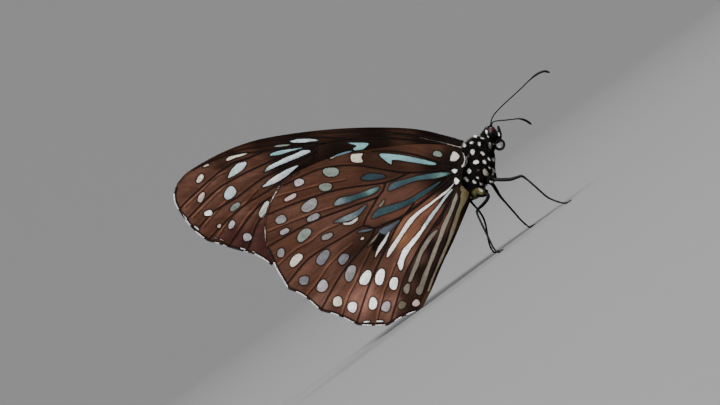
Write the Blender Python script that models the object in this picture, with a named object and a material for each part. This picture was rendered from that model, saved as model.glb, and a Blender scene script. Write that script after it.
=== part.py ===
"""Dark blue tiger butterfly, at rest on a floor with its wings closed over its back.

Metres, +Z up, head towards +X, floor at z = 0. The side view is read from the photograph in
pixels, as (x, y) pairs in its frame of 720 by 405, and side() turns a pair into metres. Sizes
across the body, and the thickness of every wing and limb, are stated in metres.
"""
import math

import bmesh
import bpy
import numpy as np
from mathutils.geometry import delaunay_2d_cdt

# Driving sizes of the animal
FOREWING_LENGTH = 0.048
MEMBRANE = 0.0005
VEIN_RAISE = 0.00013
VEIN_HALF_WIDTH = 0.00034
GAP = 0.0003
HEAD_SIDE = 0.0008
EYE_DOME = 0.00075
PALP_REACH = 0.00085
COIL_RADIUS = 0.00072
COIL_TUBE = 0.00025
SHAFT = 0.00025
CLUB = 0.00033

# Spacing of the rings and points that the shapes are built on
STATION_STEP = 0.0007
ABDOMEN_STEP = 0.00056
HEAD_STEP = 0.0003
LIMB_STEP = 0.0007
PALP_STEP = 0.0004
OUTLINE_STEP = 0.0012
ROOT_STEP = 0.0007
VEIN_STEP = 0.0024
BULGE_CELL = 0.0016
BULGE_SPACE = 0.0007
LIMB_SIDES = 8
BODY_SIDES = 16
ABDOMEN_SIDES = 12
EYE_SIDES = 16

# A vein ends this far short of the margin, and points this close to one another are one junction
VEIN_END = 0.0006
JUNCTION = 0.0007
FOOT_SPACE = 0.8 * VEIN_HALF_WIDTH

# Extra room at the body for the slope of a wing that bulges round it
SLOPE_ALLOWANCE = 0.00012

# The photograph: the forewing's span from root to tip in pixels, the slope of the surface the
# animal stands on, and where that surface lies, measured square to it
FOREWING_PIXELS = 295.1
FLOOR_SLOPE = math.radians(36.0)
FLOOR_READING = 497.4
SCALE = FOREWING_LENGTH / FOREWING_PIXELS

# How far each wing's middle lies from the body's middle plane
FOREWING_LEVEL = GAP / 2 + VEIN_RAISE + MEMBRANE / 2
HINDWING_LEVEL = FOREWING_LEVEL + MEMBRANE + 2 * VEIN_RAISE + GAP

# Stations along the body: pixel, half depth and half width
HEAD = [
    ((488.6, 137.2), 0.0006, 0.0006), ((489.6, 136.0), 0.00095, 0.00095),
    ((491.6, 134.3), 0.00115, 0.0011), ((493.6, 132.9), 0.00095, 0.001),
    ((495.2, 131.8), 0.0005, 0.0006), ((495.7, 131.4), 0.0002, 0.0003),
]
THORAX = [
    ((487.4, 139.2), 0.0007, 0.0007), ((486.4, 141.2), 0.00125, 0.0012),
    ((484.2, 144.8), 0.00175, 0.0017), ((480.8, 150.5), 0.0023, 0.0022),
    ((477.4, 158.5), 0.00265, 0.0025), ((475.0, 166.5), 0.00265, 0.0025),
    ((472.6, 174.5), 0.0025, 0.0023), ((470.9, 180.8), 0.0022, 0.0019),
    ((469.5, 186.2), 0.0019, 0.0016),
]
ABDOMEN = [
    ((465.0, 187.6), 0.00125, 0.00125), ((462.4, 196.5), 0.00128, 0.00132),
    ((456.6, 212.5), 0.00138, 0.00138), ((449.5, 232.0), 0.0013, 0.0013),
    ((441.5, 252.5), 0.0011, 0.0011), ((435.0, 268.5), 0.0009, 0.0009),
    ((431.4, 277.5), 0.00062, 0.00062), ((429.8, 281.5), 0.0003, 0.0003),
]
ABDOMEN_RINGS = 7
ABDOMEN_PINCH = 0.05

# Wing outlines, each a run of smooth curves that meet at the corners, with the root last
FOREWING_EDGES = [
    [(464.2, 140.9), (450, 136.6), (425, 130.3), (400, 127.6), (360, 127.4), (320, 130.0),
     (280, 135.2), (250, 141.6), (220, 153.2), (190, 170), (176, 183.5), (172.8, 195),
     (176.5, 208.5), (190, 227.2), (205, 240.2), (230, 247), (253, 253.3), (271, 265)],
    [(271, 265), (282, 262), (300, 253), (340, 232), (380, 211), (420, 189), (446, 173),
     (456.4, 166)],
    [(456.4, 166), (458, 159), (459.4, 151.8), (464.2, 140.9)],
]
HINDWING_EDGES = [
    [(461.5, 148.6), (450, 145.4), (420, 144), (390, 146.5), (360, 151), (330, 158),
     (300, 170.5), (283, 181), (271, 198), (265, 215), (264.3, 232), (266.5, 249),
     (276, 269.5)],
    [(276, 269.5), (281, 278), (288, 290)],
    [(288, 290), (303, 296.5), (321, 312)],
    [(321, 312), (338, 316.5), (358, 326)],
    [(358, 326), (372, 326.6), (388, 326.3)],
    [(388, 326.3), (403, 317.7), (421, 310.2)],
    [(421, 310.2), (424.5, 304), (433, 287), (443, 263), (454, 240), (465.5, 213),
     (470.6, 200), (469.6, 192.5)],
    [(469.6, 192.5), (465.0, 188.6), (462, 183), (463.5, 168), (465, 158), (461.5, 148.6)],
]

# Wing veins, root first; a branch starts on its stem
FOREWING_VEINS = {
    "subcosta": [(461, 146), (430, 137.8), (395, 132.8), (355, 131.5), (322, 133)],
    "radius": [(460, 148.5), (430, 142), (385, 137.8), (340, 140), (318, 144.5),
               (285, 148.2), (255, 152), (228, 155), (203, 164.5), (194, 169)],
    "radius 1": [(352, 139), (320, 137.2), (285, 139.3), (262, 141.8)],
    "radius 2": [(325, 143), (285, 143.3), (255, 147), (230, 152)],
    "radius 5": [(262, 151.6), (248, 158), (228, 165.5), (200, 188.5), (180, 208)],
    "cell end": [(318, 144.5), (316, 151), (317, 159), (324, 166)],
    "median 1": [(318, 144.5), (285, 154.8), (262, 165), (240, 175.5), (215, 191), (186, 220)],
    "median 2": [(316, 151), (290, 164), (262, 178.5), (236, 198), (213, 212), (197, 229)],
    "cubitus": [(456, 157), (400, 163), (345, 167.5), (324, 166), (292, 174), (268, 188.5),
                (238, 209), (209, 237)],
    "cubitus 1": [(345, 167.5), (300, 185), (265, 200.5), (250, 216), (230, 243)],
    "cubitus 2": [(375, 165.2), (320, 192.5), (266, 213), (247, 249)],
    "anal": [(453, 163), (420, 178), (340, 217), (277, 256)],
}
HINDWING_VEINS = {
    "subcosta": [(450, 165), (438.5, 162.2), (415, 154.6), (390, 151), (372, 151.4)],
    "radius": [(450, 169.4), (409.6, 172.5), (385, 169.8), (355, 165.3), (320, 169),
               (283, 186)],
    "median 1": [(409.6, 172.5), (385.4, 182.3), (340, 189.2), (300, 201.5), (270, 213.5)],
    "cell end": [(385.4, 182.3), (383, 190), (378, 197), (367, 216), (363, 226)],
    "median 2": [(378, 197), (350, 207), (310, 222.7), (270, 245.5)],
    "cubitus": [(450, 177.5), (430, 190), (400, 216), (375, 228), (363, 226), (341.5, 238),
                (309, 258.5), (287, 284)],
    "cubitus 1": [(375, 228), (369.4, 239), (341.5, 274), (322, 308)],
    "cubitus 2": [(414, 203), (397, 226), (372, 278), (357, 321)],
    "anal 1": [(453, 186), (425, 232), (401, 279), (388.5, 322)],
    "anal 2": [(460, 191), (442, 238), (425, 283), (417, 304)],
}

# Legs, right ones first: pixel, reach from the middle plane and radius
MIDLEG_R = [
    ((487.7, 178.1), 0.00135, 0.00042), ((490.5, 178.8), 0.0015, 0.00045),
    ((494.5, 179.4), 0.0018, 0.00036), ((499, 179.7), 0.0022, 0.0003),
    ((504, 179.7), 0.0027, 0.0003), ((511, 179.1), 0.0034, 0.00029),
    ((517, 177.2), 0.0039, 0.00027), ((521.3, 176.2), 0.0043, 0.00026),
    ((525.5, 178.8), 0.0046, 0.00025), ((533, 185.2), 0.0051, 0.00025),
    ((545, 196), 0.0059, 0.00025), ((552, 200), 0.0063, 0.00025),
    ((560, 202.6), 0.0067, 0.00025), ((565.5, 202.6), 0.007, 0.00025),
    ((570, 200.2), 0.0072, 0.00018),
]
MIDLEG_L = [
    ((486.3, 180.6), 0.00135, 0.0004), ((490, 181.9), 0.0015, 0.00042),
    ((493.2, 184.4), 0.0018, 0.00034), ((497, 190), 0.0024, 0.0003),
    ((500.6, 195.8), 0.003, 0.00027), ((506, 202), 0.0036, 0.00025),
    ((514, 211), 0.0045, 0.00025), ((521.5, 219.5), 0.0054, 0.00025),
    ((527, 224.5), 0.006, 0.00025), ((531, 227.0), 0.0064, 0.00025),
    ((536, 224.9), 0.0069, 0.00018),
]
HINDLEG_R = [
    ((477.7, 192.2), 0.0009, 0.0004), ((479, 194.3), 0.0011, 0.00046),
    ((483, 194.8), 0.0013, 0.00044), ((486.6, 194.0), 0.0016, 0.00036),
    ((488.2, 196.4), 0.002, 0.0003), ((486.4, 200.4), 0.0024, 0.0003),
    ((482.4, 205), 0.0029, 0.0003), ((478.4, 208.6), 0.0034, 0.00027),
    ((476.6, 211.6), 0.0038, 0.00025), ((477.8, 216), 0.0041, 0.00025),
    ((483, 227.4), 0.0048, 0.00025), ((490, 242), 0.0057, 0.00025),
    ((493.4, 248.6), 0.0061, 0.00025), ((497.4, 251.8), 0.0065, 0.00025),
    ((502.4, 249.3), 0.0069, 0.00018),
]
HINDLEG_L = [
    ((477.6, 191.9), 0.0009, 0.0004), ((478.8, 194.6), 0.0013, 0.00044),
    ((476.6, 196.8), 0.0021, 0.00036), ((473, 198.6), 0.003, 0.0003),
    ((471.4, 200.8), 0.0036, 0.00027), ((473.8, 204.2), 0.0039, 0.00025),
    ((479.4, 210.6), 0.0043, 0.00025), ((484.2, 218), 0.0047, 0.00025),
    ((486.8, 226), 0.0051, 0.00025), ((488.6, 236), 0.0056, 0.00025),
    ((491, 246), 0.006, 0.00025), ((495, 252.4), 0.0064, 0.00025),
    ((500, 250.9), 0.0069, 0.00018),
]
FORELEG = [
    ((496.2, 158.0), 0.00045, 0.0002), ((496.2, 163.0), 0.00045, 0.00025),
    ((496.2, 168.5), 0.00045, 0.00025), ((496.6, 173.5), 0.00045, 0.00025),
    ((495.8, 178), 0.00045, 0.00014),
]

# Feelers: pixel and reach from the middle plane; palps: pixel and radius
ANTENNA_R = [
    ((490.6, 126.0), 0.0005), ((491.8, 119.5), 0.0009), ((494.6, 114), 0.0014),
    ((503, 105), 0.0024), ((520, 89.3), 0.004), ((530, 79.5), 0.0049),
    ((537, 74.2), 0.0055), ((543.5, 71.9), 0.0059), ((549, 73.2), 0.0061),
]
ANTENNA_L = [
    ((491.2, 126.0), 0.0005), ((493.2, 122), 0.0011), ((498, 120.5), 0.0025),
    ((506, 119.6), 0.0046), ((514, 118.6), 0.0068), ((521, 117.8), 0.0088),
    ((527.5, 119.3), 0.0102), ((534, 123.3), 0.0112),
]
CLUB_START = 0.72
CLUB_FULL = 0.55
TIP_SHARE = 0.5
PALP = [
    ((495.6, 142.6), 0.00022), ((499, 140.2), 0.00026), ((500.2, 135), 0.00025),
    ((499.6, 130), 0.0002), ((498.4, 126), 0.0001),
]
EYE_CENTRE = (491.6, 133.8)
EYE_HALF_LENGTH = 0.00066
EYE_HALF_HEIGHT = 0.00096
EYE_RINGS = 5
EYE_ROUNDNESS = 2.4
COIL_CENTRE = (500.7, 145.6)
COIL_FROM = math.radians(165)
COIL_TURN = math.radians(318)
COIL_POINTS = 22
COIL_CLOSING = 0.06
COIL_TIP_SHARE = 0.7

LEFT = 1
RIGHT = -1


def side(pixel):
    """Metres along and above the floor, for a pixel of the photograph."""
    px, py = pixel
    along = px * math.cos(FLOOR_SLOPE) - py * math.sin(FLOOR_SLOPE)
    down = px * math.sin(FLOOR_SLOPE) + py * math.cos(FLOOR_SLOPE)
    return np.array([along * SCALE, (FLOOR_READING - down) * SCALE])


def smooth(rows, step):
    """Rows of numbers resampled at the step along a Catmull-Rom curve through them."""
    rows = np.array(rows, dtype=float)
    padded = np.vstack([2 * rows[0] - rows[1], rows, 2 * rows[-1] - rows[-2]])
    fine = []
    for i in range(len(rows) - 1):
        a, b, c, d = padded[i:i + 4]
        for t in np.linspace(0, 1, 12, endpoint=False):
            fine.append(0.5 * (2 * b + (c - a) * t + (2 * a - 5 * b + 4 * c - d) * t ** 2
                               + (3 * b - a - 3 * c + d) * t ** 3))
    fine = np.array(fine + [rows[-1]])
    lengths = np.linalg.norm(np.diff(fine[:, :min(3, fine.shape[1])], axis=0), axis=1)
    travel = np.concatenate([[0], np.cumsum(lengths)])
    count = max(2, round(travel[-1] / step) + 1)
    stops = np.linspace(0, travel[-1], count)
    return np.column_stack([np.interp(stops, travel, column) for column in fine.T])


def add_object(name, vertices, faces, material):
    """A closed mesh object with its faces turned outwards."""
    mesh = bpy.data.meshes.new(name)
    mesh.from_pydata([tuple(v) for v in vertices], [], faces)
    work = bmesh.new()
    work.from_mesh(mesh)
    bmesh.ops.triangulate(work, faces=work.faces[:])
    bmesh.ops.recalc_face_normals(work, faces=work.faces[:])
    work.to_mesh(mesh)
    work.free()
    mesh.shade_smooth()
    mesh.set_sharp_from_angle(angle=math.radians(40))
    mesh.materials.append(material)
    thing = bpy.data.objects.new(name, mesh)
    bpy.context.collection.objects.link(thing)
    return thing


def surface_material(name, colour, roughness):
    material = bpy.data.materials.new(name)
    material.use_nodes = True
    shader = material.node_tree.nodes["Principled BSDF"]
    shader.inputs["Base Color"].default_value = (*colour, 1.0)
    shader.inputs["Roughness"].default_value = roughness
    shader.inputs["Metallic"].default_value = 0.0
    return material


def skin_rings(rings):
    """Vertices and faces of a tube through equal rings, each end a fan round its middle."""
    count = len(rings[0])
    vertices = [point for ring in rings for point in ring]
    faces = []
    for r in range(len(rings) - 1):
        for i in range(count):
            j = (i + 1) % count
            here = r * count
            faces.append((here + i, here + j, here + count + j, here + count + i))
    for start in (0, (len(rings) - 1) * count):
        middle = len(vertices)
        vertices.append(np.mean(vertices[start:start + count], axis=0))
        faces += [(start + i, start + (i + 1) % count, middle) for i in range(count)]
    return vertices, faces


def line_tangents(path):
    """Unit directions along a line of points."""
    tangents = np.gradient(path, axis=0)
    return tangents / np.linalg.norm(tangents, axis=1)[:, None]


def body_rows(stations, step):
    """Stations along a body part as rows of x, z, half depth and half width."""
    rows = [(*side(pixel), depth, width) for pixel, depth, width in stations]
    return smooth(rows, step)


def body_rings(rows, sides, flat_side=None):
    """Oval rings square to the line of the stations, cut flat at the sides if asked."""
    rings = []
    for (x, z, depth, width), (tx, tz) in zip(rows, line_tangents(rows[:, :2])):
        ring = []
        for k in range(sides):
            turn = 2 * math.pi * (k + 0.5) / sides
            up = depth * math.cos(turn)
            out = width * math.sin(turn)
            if flat_side:
                out = max(-flat_side, min(flat_side, out))
            ring.append(np.array([x - tz * up, out, z + tx * up]))
        rings.append(ring)
    return rings


def add_body_part(name, rows, sides, material, flat_side=None):
    return add_object(name, *skin_rings(body_rings(rows, sides, flat_side)), material)


def segmented(rows):
    """Narrow the abdomen a little at the joint between each two of its rings."""
    rows = rows.copy()
    places = np.linspace(0, ABDOMEN_RINGS, len(rows))
    pinch = 1 - ABDOMEN_PINCH * np.abs(np.cos(math.pi * places)) ** 4
    rows[:, 2:] *= pinch[:, None]
    return rows


def add_tube(name, rows, material, lowest=None):
    """A tube along rows of x, y, z and radius, pressed flat where it meets the lowest level."""
    rows = np.array(rows)
    path = rows[:, :3]
    tangents = line_tangents(path)
    across = np.cross(tangents[0], [0.0, 0.0, 1.0])
    rings = []
    for place, tangent, radius in zip(path, tangents, rows[:, 3]):
        across = across - tangent * np.dot(across, tangent)
        across /= np.linalg.norm(across)
        upward = np.cross(across, tangent)
        ring = []
        for k in range(LIMB_SIDES):
            turn = 2 * math.pi * (k + 0.5) / LIMB_SIDES
            point = place + radius * (math.cos(turn) * across + math.sin(turn) * upward)
            if lowest is not None:
                point[2] = max(point[2], lowest)
            ring.append(point)
        rings.append(ring)
    return add_object(name, *skin_rings(rings), material)


def add_leg(name, stations, hand, material):
    rows = [(side(p)[0], hand * out, side(p)[1], radius) for p, out, radius in stations]
    return add_tube(name, smooth(rows, LIMB_STEP), material, lowest=0.0)


def add_antenna(name, stations, hand, material):
    rows = [(side(p)[0], hand * out, side(p)[1], 0.0) for p, out in stations]
    rows = smooth(rows, LIMB_STEP)
    share = np.linspace(0, 1, len(rows))
    swell = np.clip((share - CLUB_START) / (1 - CLUB_START), 0, CLUB_FULL) / CLUB_FULL
    rows[:, 3] = SHAFT + (CLUB - SHAFT) * np.sin(math.pi * swell / 2)
    rows[-1, 3] = SHAFT * TIP_SHARE
    return add_tube(name, rows, material)


def add_palp(name, hand, material):
    rows = [(side(p)[0], hand * PALP_REACH, side(p)[1], radius) for p, radius in PALP]
    return add_tube(name, smooth(rows, PALP_STEP), material)


def add_eye(name, hand, material):
    """A dome whose flat back faces the side of the head."""
    cx, cz = side(EYE_CENTRE)
    rings = []
    for lift in np.arange(EYE_RINGS) / EYE_RINGS:
        shrink = math.sqrt(1 - lift ** EYE_ROUNDNESS)
        ring = []
        for k in range(EYE_SIDES):
            turn = 2 * math.pi * k / EYE_SIDES
            along = EYE_HALF_LENGTH * shrink * math.cos(turn)
            up = EYE_HALF_HEIGHT * shrink * math.sin(turn)
            x = cx + along * math.cos(FLOOR_SLOPE) - up * math.sin(FLOOR_SLOPE)
            z = cz + along * math.sin(FLOOR_SLOPE) + up * math.cos(FLOOR_SLOPE)
            ring.append(np.array([x, hand * (HEAD_SIDE + GAP + EYE_DOME * lift), z]))
        rings.append(ring)
    return add_object(name, *skin_rings(rings), material)


def add_proboscis(material):
    """The rolled tongue: most of one turn, from below the head round to just short of itself."""
    cx, cz = side(COIL_CENTRE)
    rows = []
    for share in np.linspace(0, 1, COIL_POINTS):
        angle = COIL_FROM - COIL_TURN * share
        radius = COIL_RADIUS * (1 - COIL_CLOSING * share)
        x = cx + radius * math.cos(angle)
        z = cz + radius * math.sin(angle)
        rows.append((x, 0.0, z, COIL_TUBE))
    rows[-1] = (*rows[-1][:3], COIL_TUBE * COIL_TIP_SHARE)
    return add_tube("proboscis", rows, material)


def half_width_at(x, z, rows):
    """How far the body reaches sideways at a point of the side view."""
    tangents = line_tangents(rows[:, :2])
    offset = np.array([x, z]) - rows[:, :2]
    along = np.abs((offset * tangents).sum(axis=1))
    across = offset[:, 1] * tangents[:, 0] - offset[:, 0] * tangents[:, 1]
    share = np.clip(across / (rows[:, 2] + GAP), -1, 1)
    reach = np.where(along < STATION_STEP, rows[:, 3] * np.sqrt(1 - share ** 2), 0.0)
    return reach.max()


def hindwing_level(x, z, rows):
    """Distance of the hindwing's middle from the middle plane: flat, and bulged round the body."""
    clear = half_width_at(x, z, rows) + GAP + VEIN_RAISE + MEMBRANE / 2 + SLOPE_ALLOWANCE
    return (HINDWING_LEVEL ** 6 + clear ** 6) ** (1 / 6)


def forewing_level(x, z):
    """Distance of the forewing's middle from the middle plane, the same all over."""
    return FOREWING_LEVEL


def steepness(level, x, z):
    """How much longer the level's slope is than its side view, at most by half."""
    step = STATION_STEP / 2
    rise_x = (level(x + step, z) - level(x - step, z)) / (2 * step)
    rise_z = (level(x, z + step) - level(x, z - step)) / (2 * step)
    return min(1.5, math.sqrt(1 + rise_x ** 2 + rise_z ** 2))


def outline_points(edges):
    """The closed outline, kept above the floor, with its last edge, at the root, the finest."""
    points = []
    for edge in edges:
        step = ROOT_STEP if edge is edges[-1] else OUTLINE_STEP
        points += [tuple(p) for p in smooth([side(p) for p in edge], step)[:-1]]
    return np.array([(x, max(z, 0.0)) for x, z in points])


def inside(point, outline):
    """Whether a point lies within a closed outline."""
    x, z = point
    a = outline
    b = np.roll(outline, -1, axis=0)
    spans = (a[:, 1] > z) != (b[:, 1] > z)
    drop = np.where(spans, b[:, 1] - a[:, 1], 1.0)
    cross = a[:, 0] + (z - a[:, 1]) * (b[:, 0] - a[:, 0]) / drop
    return np.count_nonzero(spans & (x < cross)) % 2 == 1


def nearest_distance(point, points):
    """The distance from a point to the nearest of several."""
    return np.hypot(*(np.array(points) - point).T).min()


def distance_to_lines(point, starts, ends):
    """The least distance from a point to the straight lines between starts and ends."""
    run = ends - starts
    share = ((point - starts) * run).sum(axis=1) / (run ** 2).sum(axis=1)
    return nearest_distance(point, starts + run * np.clip(share, 0, 1)[:, None])


def bulge_points(outline, level):
    """Evenly spread points inside an outline, where its level isn't flat."""
    low = outline.min(axis=0)
    high = outline.max(axis=0)
    points = []
    for r, z in enumerate(np.arange(low[1], high[1], BULGE_CELL * math.sqrt(3) / 2)):
        for x in np.arange(low[0] + (r % 2) * BULGE_CELL / 2, high[0], BULGE_CELL):
            bulges = level(x, z) > HINDWING_LEVEL * 1.001
            if bulges and inside((x, z), outline):
                points.append((x, z))
    return points


def spaced(candidates, kept, distance):
    """The candidates that keep a distance from the points kept so far and from one another."""
    kept = [tuple(p) for p in kept]
    chosen = []
    for point in candidates:
        if nearest_distance(point, kept) >= distance:
            chosen.append(tuple(point))
            kept.append(tuple(point))
    return chosen


def vein_network(veins, outline):
    """Crest points of all veins and the pairs that join them; a branch shares its stem's point."""
    crest = []
    pairs = []
    for vein in veins.values():
        previous = None
        for place in smooth([side(p) for p in vein], VEIN_STEP):
            if not inside(place, outline) or nearest_distance(place, outline) < VEIN_END:
                continue
            if crest and nearest_distance(place, crest) < JUNCTION:
                here = int(np.hypot(*(np.array(crest) - place).T).argmin())
            else:
                here = len(crest)
                crest.append(tuple(place))
            if previous is not None and previous != here:
                pairs.append((previous, here))
            previous = here
    return crest, pairs


def vein_feet(crest, pairs, outline):
    """Points on both sides of the crests, where a ridge comes down to the membrane."""
    places = np.array(crest)
    starts = places[[a for a, _ in pairs]]
    ends = places[[b for _, b in pairs]]
    feet = []
    for start, end in zip(starts, ends):
        run = end - start
        square = np.array([-run[1], run[0]]) / np.hypot(*run)
        for share in (0.0, 0.5):
            for sign in (-1, 1):
                foot = start + share * run + sign * VEIN_HALF_WIDTH * square
                clear = distance_to_lines(foot, starts, ends) > FOOT_SPACE
                if clear and inside(foot, outline):
                    feet.append(foot)
    return feet


def membrane_mesh(outline, veins, level):
    """Flat points, triangles and crest marks of a wing: outline, veins, ridge feet and bulge."""
    crest, pairs = vein_network(veins, outline)
    fixed = [tuple(p) for p in outline] + crest
    feet = spaced(vein_feet(crest, pairs, outline), fixed, FOOT_SPACE)
    filling = spaced(bulge_points(outline, level), fixed + feet, BULGE_SPACE)
    rim = len(outline)
    joined = [(rim + a, rim + b) for a, b in pairs]
    points, _, faces, origins, _, _ = delaunay_2d_cdt(
        fixed + feet + filling, joined, [list(range(rim))], 1, 1e-7, True)
    faces = [f for f in faces if inside(np.mean([points[i] for i in f], axis=0), outline)]
    crests = [not found or rim <= found[0] < len(fixed) for found in origins]
    return points, faces, crests


def rim_walls(faces, count):
    """Faces that join the two skins of a membrane along the edges that only one triangle uses."""
    edge_uses = {}
    for face in faces:
        for a, b in zip(face, face[1:] + face[:1]):
            edge_uses.setdefault(frozenset((a, b)), []).append((a, b))
    single = [uses[0] for uses in edge_uses.values() if len(uses) == 1]
    return [(b, a, count + a, count + b) for a, b in single]


def add_wing(name, edges, veins, level, hand, material):
    """A membrane with its veins raised on both faces, split into triangles alike on both."""
    points, faces, crests = membrane_mesh(outline_points(edges), veins, level)
    outer = []
    inner = []
    for (x, z), on_crest in zip(points, crests):
        half = (MEMBRANE / 2 + VEIN_RAISE * on_crest) * steepness(level, x, z)
        outer.append((x, hand * (level(x, z) + half), z))
        inner.append((x, hand * (level(x, z) - half), z))
    count = len(points)
    skins = [tuple(f) for f in faces] + [tuple(count + i for i in reversed(f)) for f in faces]
    return add_object(name, outer + inner, skins + rim_walls(faces, count), material)


def centre_over_origin(things):
    """Move every mesh so that the middle of the whole one's footprint is at the origin."""
    corners = np.array([vertex.co for thing in things for vertex in thing.data.vertices])
    middle = (corners.min(axis=0) + corners.max(axis=0)) / 2
    for thing in things:
        for vertex in thing.data.vertices:
            vertex.co.x -= middle[0]
            vertex.co.y -= middle[1]
        thing.data.update()


def main():
    for thing in list(bpy.data.objects):
        bpy.data.objects.remove(thing)
    scales = surface_material("black scales", (0.02, 0.015, 0.012), 0.85)
    olive = surface_material("olive belly", (0.12, 0.1, 0.04), 0.8)
    horn = surface_material("dark horn", (0.03, 0.022, 0.018), 0.5)
    gloss = surface_material("eye", (0.03, 0.012, 0.01), 0.2)
    fore = surface_material("forewing brown", (0.09, 0.045, 0.035), 0.7)
    hind = surface_material("hindwing brown", (0.1, 0.055, 0.035), 0.7)

    thorax_rows = body_rows(THORAX, STATION_STEP)
    abdomen_rows = segmented(body_rows(ABDOMEN, ABDOMEN_STEP))
    body = np.vstack([thorax_rows, abdomen_rows])

    def over_body(x, z):
        return hindwing_level(x, z, body)

    things = [
        add_body_part("head", body_rows(HEAD, HEAD_STEP), BODY_SIDES, scales, HEAD_SIDE),
        add_body_part("thorax", thorax_rows, BODY_SIDES, scales),
        add_body_part("abdomen", abdomen_rows, ABDOMEN_SIDES, olive),
        add_proboscis(horn),
        add_antenna("antenna_r", ANTENNA_R, RIGHT, horn),
        add_antenna("antenna_l", ANTENNA_L, LEFT, horn),
        add_leg("midleg_r", MIDLEG_R, RIGHT, horn),
        add_leg("midleg_l", MIDLEG_L, LEFT, horn),
        add_leg("hindleg_r", HINDLEG_R, RIGHT, horn),
        add_leg("hindleg_l", HINDLEG_L, LEFT, horn),
    ]
    for hand, tail in ((RIGHT, "r"), (LEFT, "l")):
        things += [
            add_eye(f"eye_{tail}", hand, gloss),
            add_palp(f"palp_{tail}", hand, scales),
            add_leg(f"foreleg_{tail}", FORELEG, hand, scales),
            add_wing(f"forewing_{tail}", FOREWING_EDGES, FOREWING_VEINS, forewing_level, hand, fore),
            add_wing(f"hindwing_{tail}", HINDWING_EDGES, HINDWING_VEINS, over_body, hand, hind),
        ]
    centre_over_origin(things)


main()
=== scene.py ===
"""Looks of a dark blue tiger butterfly: scaled wings, coated body, eyes, feelers, legs, studio.

Metres, +Z up, head towards +X, the animal's right side towards -Y. The side view is read from
the photograph in pixels of its 720 by 405 frame, and side() turns pixels into x and z here.
"""
import math

import bpy
import numpy as np
from mathutils import Matrix, Vector
from mathutils.geometry import delaunay_2d_cdt


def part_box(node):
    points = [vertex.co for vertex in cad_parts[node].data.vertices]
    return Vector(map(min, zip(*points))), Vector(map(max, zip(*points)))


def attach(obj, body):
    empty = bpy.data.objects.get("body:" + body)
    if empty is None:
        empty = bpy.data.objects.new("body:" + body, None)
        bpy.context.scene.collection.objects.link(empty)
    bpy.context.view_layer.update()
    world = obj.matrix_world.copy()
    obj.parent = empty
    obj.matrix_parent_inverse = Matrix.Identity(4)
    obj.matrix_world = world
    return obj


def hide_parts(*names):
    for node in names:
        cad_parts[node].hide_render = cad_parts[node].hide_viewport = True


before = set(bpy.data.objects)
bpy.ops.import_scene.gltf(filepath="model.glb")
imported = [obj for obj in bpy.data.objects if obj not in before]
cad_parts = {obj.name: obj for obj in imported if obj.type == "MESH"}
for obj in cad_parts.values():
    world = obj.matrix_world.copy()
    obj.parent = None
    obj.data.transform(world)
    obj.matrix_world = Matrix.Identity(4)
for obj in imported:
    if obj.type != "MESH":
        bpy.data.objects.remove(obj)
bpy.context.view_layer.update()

# The photograph: scale, slope and place of the surface the animal stands on
FOREWING_LENGTH = 0.048
FOREWING_PIXELS = 295.1
SCALE = FOREWING_LENGTH / FOREWING_PIXELS
FLOOR_SLOPE = math.radians(36.0)
FLOOR_READING = 497.4
WING_ROOT_TOP = (464.2, 140.9)
PHOTO_WIDTH = 720
PHOTO_CENTRE = (360.0, 202.5)

# Solids that the looks are fitted to
MEMBRANE = 0.0005
VEIN_RAISE = 0.00013
GAP = 0.0003
SLOPE_ALLOWANCE = 0.00012
FOREWING_LEVEL = GAP / 2 + VEIN_RAISE + MEMBRANE / 2
HINDWING_LEVEL = FOREWING_LEVEL + MEMBRANE + 2 * VEIN_RAISE + GAP
STATION_STEP = 0.0007

MIDDLE = (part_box("forewing_r")[0].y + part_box("forewing_l")[1].y) / 2
RIGHT = -1
LEFT = 1
HANDS = ((RIGHT, "r"), (LEFT, "l"))
MM = 0.001
RANDOM = np.random.default_rng(11)

# Rows of wing scales fan out from here
WING_CENTRE = (472.0, 158.0)
RAY_LENGTH = 0.02

# How finely curves are followed
CURVE_SAMPLES = 12
LOOP_SHARES = (0.0, 0.25, 0.5, 0.75)
OVAL_POINTS = 32

# Marks: how square and how uneven their ovals are, and what lies outside all of them
SQUARED = 0.84
UNEVEN = 0.06
DASH_WIDTH = 1.3
NO_DEPTH = -2.0 * MM
NO_TINT = 0.3

# Reflectance: how much darker dark colours are taken, and the palest scale
TONE_DEPTH = 0.3
PALEST = 0.92

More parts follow.
